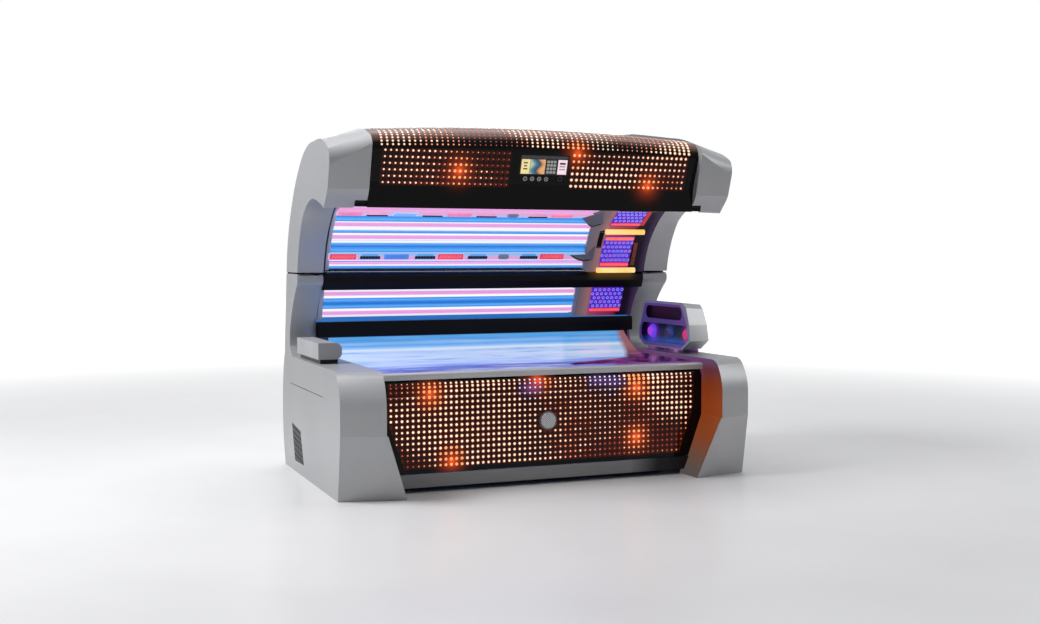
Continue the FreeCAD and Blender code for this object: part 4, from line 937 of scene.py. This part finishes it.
# painted light: the pink and red glow of the facial lights on the moulding, strongest beside them
tint = along.ramp((0, 0.06, 0.05, 0.08), (0.16, 0.13, 0.08, 0.08), (0.27, 0.3, 0.11, 0.12),
                  (0.33, 0.3, 0.03, 0.06), (0.7, 0.22, 0.008, 0.015),
                  (0.76, 0.006, 0.001, 0.006), (0.9, 0.006, 0.002, 0.012),
                  (1, 0.05, 0.02, 0.08))
housing.paint(color=housing.uneven(6, 0, 0.3).mix(base, (0.02, 0.02, 0.03)),
              rough=housing.uneven(30, 0.34, 0.46), glow=tint)
dress(housing, "face_light_housing", "back_wall_light_housing")
# only the lower lamp bars are lit
look = Look("warm_lamp", rough=0.3)
lit = look.z.span(1.5, 1.52, 1, 0)
look.paint(color=lit.mix((0.05, 0.04, 0.04), (0.4, 0.28, 0.1)), power=lit,
           glow=look.texture.noise(8, 2).ramp((0.3, 1, 0.56, 0.14), (0.6, 1, 0.72, 0.3)))
dress(look, "face_lamp_bars")

TUNNEL_SKIN = 0.5968
# all in x and degrees round the tunnel
SURROUND_EDGE = ((0.641, 14), (0.633, 20), (0.625, 26), (0.613, 35), (0.606, 43),
                 (0.612, 52), (0.623, 61), (0.632, 72), (0.638, 85), (0.641, 98))
UPPER_FIN = ((0.503, 54.2), (0.571, 47.8), (0.606, 45.5), (0.68, 48.7), (0.629, 61.3))
LOWER_FIN = ((0.502, 24.8), (0.56, 21.6), (0.613, 20.4), (0.683, 21.2), (0.684, 31.5),
             (0.64, 25.6))
SIDE_VENT = ((0.689, 29.2), (0.722, 29.2), (0.713, 42.4), (0.68, 42.4))
RED_SIDE_LIGHT = ((0.944, 46.6), (0.974, 46.6), (0.974, 62), (0.944, 62))
BROWN_SIDE_LIGHT = ((0.958, 17.5), (0.985, 17.5), (0.98, 33), (0.955, 33))
UPPER_FIN_HEIGHT, LOWER_FIN_HEIGHT, SIDE_VENT_HEIGHT = 0.013, 0.012, 0.0068
SIDE_VENT_RUNGS = 6


def shrunk(corners, share):
    """The corners drawn together towards their middle."""
    middle = [sum(values) / len(corners) for values in zip(*corners)]
    return [[m + (c - m) * share for c, m in zip(corner, middle)] for corner in corners]


def tunnel_slab(mesh, corners, height, shrink=0.94, look=0):
    """A moulded block on the tunnel's skin, from the corners of its foot."""
    close(mesh, [[mesh.verts.new(tunnel_place(x, angle, radius).centre)
                  for x, angle in shrunk(corners, share)]
                 for radius, share in ((TUNNEL_SKIN + 0.0006, 1),
                                       (TUNNEL_SKIN - height, shrink))], look)


def slotted_edge(mesh, corners, first, last, height, step=0.0135):
    """Small black slots on a block's face, just inside its edges from one corner to another."""
    metres = [(x, math.radians(angle) * TUNNEL_SKIN)
              for x, angle in shrunk(corners, 0.84)[first:last + 1]]
    length = sum(math.dist(a, b) for a, b in zip(metres, metres[1:]))
    for i in range(int(length / step)):
        x, along = walk(metres, (i + 0.5) * step)
        spot = tunnel_place(x, math.degrees(along / TUNNEL_SKIN), TUNNEL_SKIN - height)
        pad(mesh, spot, 0.0052, 0.0044, 0.001, 0.001, 0.0004, look=1)


# the surround's curved edge, the fins that meet the strips, and the slanted side vent
with piece("facial_surround", "canopy", "face_housing", housing) as mesh:
    stations = []
    for edge, angle in SURROUND_EDGE:
        near, far = (tunnel_place(0, angle, radius).centre for radius in (0.5925, 0.5974))
        stations.append([(edge, far.y, far.z), (0.7, far.y, far.z), (0.7, near.y, near.z),
                         (edge, near.y, near.z)])
    ribbon(mesh, stations)

with piece("facial_fins", "canopy", "face_housing", recess_pale, slot_black) as mesh:
    tunnel_slab(mesh, UPPER_FIN, UPPER_FIN_HEIGHT)
    tunnel_slab(mesh, LOWER_FIN, LOWER_FIN_HEIGHT)
    slotted_edge(mesh, UPPER_FIN, 1, 3, UPPER_FIN_HEIGHT)
    slotted_edge(mesh, LOWER_FIN, 0, 3, LOWER_FIN_HEIGHT)

with piece("facial_side_vent", "canopy", "vent_strip", slot_black, recess_pale) as mesh:
    tunnel_slab(mesh, SIDE_VENT, SIDE_VENT_HEIGHT)
    for i in range(SIDE_VENT_RUNGS):
        share = (i + 0.5) / SIDE_VENT_RUNGS
        rung = tunnel_place(0.7055 - 0.009 * share, 29.2 + 13.2 * share,
                            TUNNEL_SKIN - SIDE_VENT_HEIGHT)
        pad(mesh, rung, 0.0095, 0.0018, 0.001, 0.001, 0.0004, look=1)

with piece("facial_side_lights", "canopy", "face_panel",
           glow("side_red", (0.52, 0.012, 0.03), 0.8),
           glow("side_brown", (0.13, 0.016, 0.008), 0.8)) as mesh:
    tunnel_slab(mesh, RED_SIDE_LIGHT, 0.003, 0.97)
    tunnel_slab(mesh, BROWN_SIDE_LIGHT, 0.003, 0.97, look=1)

# ---- pod at the head end

NOZZLES = (-0.198, 0.031, 0.26)
NOZZLE_Z = 0.795
dress(lacquer("pod_silver", (0.56, 0.565, 0.58), 0.34, 0.25, 0.06), "pod_shell")

# violet face with a painted violet glow, brightest towards its front end; its recesses are near
# black, the lower one with a blue-lit floor
pod_plastic = Look("pod_face_plastic", power=0.7)
inside = pod_plastic.x.span(1.0628, 1.064)
violet = pod_plastic.y.span(-0.3, 0.36).ramp(
    (0, 0.15, 0.03, 0.26), (0.4, 0.06, 0.03, 0.16), (1, 0.05, 0.035, 0.16))
dark = pod_plastic.z.span(0.765, 0.725).mix((0.003, 0, 0.006), (0.008, 0.045, 0.3))
pod_plastic.paint(color=inside.mix((0.09, 0.055, 0.15), (0.004, 0.003, 0.008)),
                  rough=pod_plastic.uneven(120, 0.3, 0.42), glow=inside.mix(violet, dark),
                  normal=pod_plastic.texture.noise(300, 1).bump(0.06, 0.0003))
dress(pod_plastic, "pod_face")

look = Look("pod_inside", color=(0.006, 0.004, 0.012), power=0.9)
# painted light: a blue glow low on the bulkhead and a coloured glow round each nozzle
tint = look.z.span(0.775, 0.73).mix((0.002, 0.001, 0.005), (0.008, 0.05, 0.3))
for place, color in zip(NOZZLES, ((0.4, 0.02, 0.16), (0.01, 0.03, 0.14), (0.16, 0.02, 0.75))):
    tint = tint.plus(bell(look.y, look.z, ((place, NOZZLE_Z),), 0.052).of(color))
look.paint(rough=look.uneven(60, 0.25, 0.35), glow=tint)
dress(look, "pod_bulkhead")

look = Look("nozzle_plastic", power=0.85)
across = look.y.span(-0.25, 0.31)
rim = across.ramp((0, 0.6, 0.03, 0.12), (0.28, 0.45, 0.03, 0.2), (0.34, 0.015, 0.04, 0.16),
                  (0.66, 0.015, 0.04, 0.16), (0.74, 0.1, 0.06, 0.8), (1, 0.14, 0.05, 0.85))
heart = across.ramp((0, 0.85, 0.05, 0.2), (0.28, 0.8, 0.05, 0.3), (0.34, 0.1, 0.01, 0.03),
                    (0.66, 0.05, 0.01, 0.05), (0.74, 0.8, 0.04, 0.7), (1, 0.85, 0.04, 0.75))
hearts = bell(look.y, look.z, [(place, NOZZLE_Z) for place in NOZZLES], 0.024)
look.paint(color=look.texture.noise(30).mix((0.03, 0.02, 0.07), (0.05, 0.03, 0.11)),
           rough=look.uneven(80, 0.18, 0.28), glow=hearts.mix(rim, heart))
dress(look, "pod_nozzle_front", "pod_nozzle_middle", "pod_nozzle_back")

# corners (y, z) and radii of the two openings in the pod's face
POD_WINDOW = (((0.33, 0.727), 0.04), ((0.362, 0.77), 0.03), ((0.364, 0.8), 0.03),
              ((0.345, 0.851), 0.026), ((-0.228, 0.851), 0.026), ((-0.246, 0.79), 0.03),
              ((-0.238, 0.757), 0.03), ((-0.205, 0.731), 0.04))
POD_SHELF = (((0.306, 0.881), 0.036), ((0.292, 0.962), 0.034), ((-0.158, 0.962), 0.034),
             ((-0.19, 0.881), 0.036))
CORNER_STEPS = 6


def gusset(mesh, corner, before, after, radius, near, far):
    """Round one inner corner of an opening (y, z) with a plate that runs from near to far in x."""
    corner = Vector(corner)
    ways = [(Vector(point) - corner).normalized() for point in (before, after)]
    half = ways[0].angle(ways[1]) / 2
    sweep = math.pi - 2 * half
    centre = corner + (ways[0] + ways[1]).normalized() * radius / math.sin(half)
    start, end = (corner + way * radius / math.tan(half) - centre for way in ways)
    shares = [i / CORNER_STEPS for i in range(CORNER_STEPS + 1)]
    arc = [centre + (start * math.sin((1 - share) * sweep) + end * math.sin(share * sweep))
           / math.sin(sweep) for share in shares]
    close(mesh, [[mesh.verts.new((x, point.x, point.y)) for point in (corner, *arc)]
                 for x in (near, far)])


with piece("pod_face_corners", "base", "pod_face", pod_plastic) as mesh:
    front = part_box("pod_face")[0][0]
    for opening in (POD_WINDOW, POD_SHELF):
        points = [point for point, radius in opening]
        for i, (point, radius) in enumerate(opening):
            gusset(mesh, point, points[i - 1], points[(i + 1) % len(points)], radius,
                   front, front + 0.006)

# ---- round cap

CAP_RIBS = 11
dress(metal("cap_metal", (0.16, 0.16, 0.17), 0.4, 0.5), "round_cap")

# fine diagonal ribs across the round cap, cut off at its rim
with piece("cap_ribs", "base", "silver_trim",
           metal("cap_silver", (0.74, 0.75, 0.77), 0.35, 0.4)) as mesh:
    low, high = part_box("round_cap")
    face = Place(((low[0] + high[0]) / 2, low[1], (low[2] + high[2]) / 2), (1, 0, 1), (0, -1, 0))
    radius = (high[0] - low[0]) / 2 - 0.0075
    for i in range(CAP_RIBS):
        v = (i - (CAP_RIBS - 1) / 2) * 2 * radius / CAP_RIBS
        half = math.sqrt(max(radius ** 2 - v ** 2, 0)) - 0.001
        if half > 0.006:
            pad(mesh, face.moved(0, v), half, 0.0026, 0.0016, 0.002, 0.0006)

# ---- small closures and lines


# gloss sheets that close the base casings beside the bed's two ends; the one at the head end carries
# the risers' painted glow
with piece("bed_end_sheets", "base", "casing", risers) as mesh:
    for side in (-1, 1):
        stations = []
        for i in range(21):
            y = -0.495 + 0.0385 * i
            # just under the lying surface, an arc of one metre's radius
            low = 1.569 - math.sqrt(1 - (y + 0.106) ** 2)
            stations.append([(side * x, y, z) for x, z in ((1.0005, low), (1.0035, low),
                                                           (1.0035, 0.668), (1.0005, 0.668))])
        ribbon(mesh, stations)

# rubber lips behind the hinge line, which also fill the side gap where only a dark shadow line shows,
# and blanking plugs in the rear of the towers
with (piece("rear_plugs", "base", "casing", silver) as plugs,
      piece("hinge_gaskets", "base", "feet",
            plastic("gasket_rubber", (0.01, 0.01, 0.01), 0.8, shine=0.2)) as lips):
    for side in (-1, 1):
        pad(lips, Place((side * 1.213, 0.476, 1.175), (0, 1, 0), (0, 0, 1)), 0.122, 0.006, 0.0078,
            0.003, 0.002)
        pad(plugs, Place((side * 1.0702, 0.6317, 1.1205), (1, 0, 0), (0, 1, 0.175)), 0.0063, 0.018,
            0.0014, 0.002, 0.0006, sink=0.0012)

# the joint between the covers of each base casing, and the line along the front glass
with piece("casing_seams", "base", "casing",
           plastic("seam_black", (0.02, 0.02, 0.022), 0.6, shine=0.2)) as mesh:
    for side, name in ((-1, "left_base_casing"), (1, "right_base_casing")):
        skin = Surface(name)
        for i in range(8):
            spot = skin.near((side * 1.24, 0.545 - 0.105 * (i + 0.5), 0.517))
            pad(mesh, Place(spot.centre, (0, 1, 0), spot.out), 0.0525, 0.0016, 0.0005, 0.0004,
                0.0002)

with piece("front_glass_line", "base", "circuit_board",
           glow("glass_line", (0.3, 0.17, 0.15), 0.7)) as mesh:
    skin = Surface("front_glass")
    for i in range(20):
        spot = skin.near((-0.93 + 0.093 * (i + 0.5), FRONT_Y - 0.002, 0.5225))
        pad(mesh, spot, 0.0465, 0.0007, 0.0006, 0.0004, 0.0002)

# ---- end of the script

scene.view_settings.view_transform = "Standard"
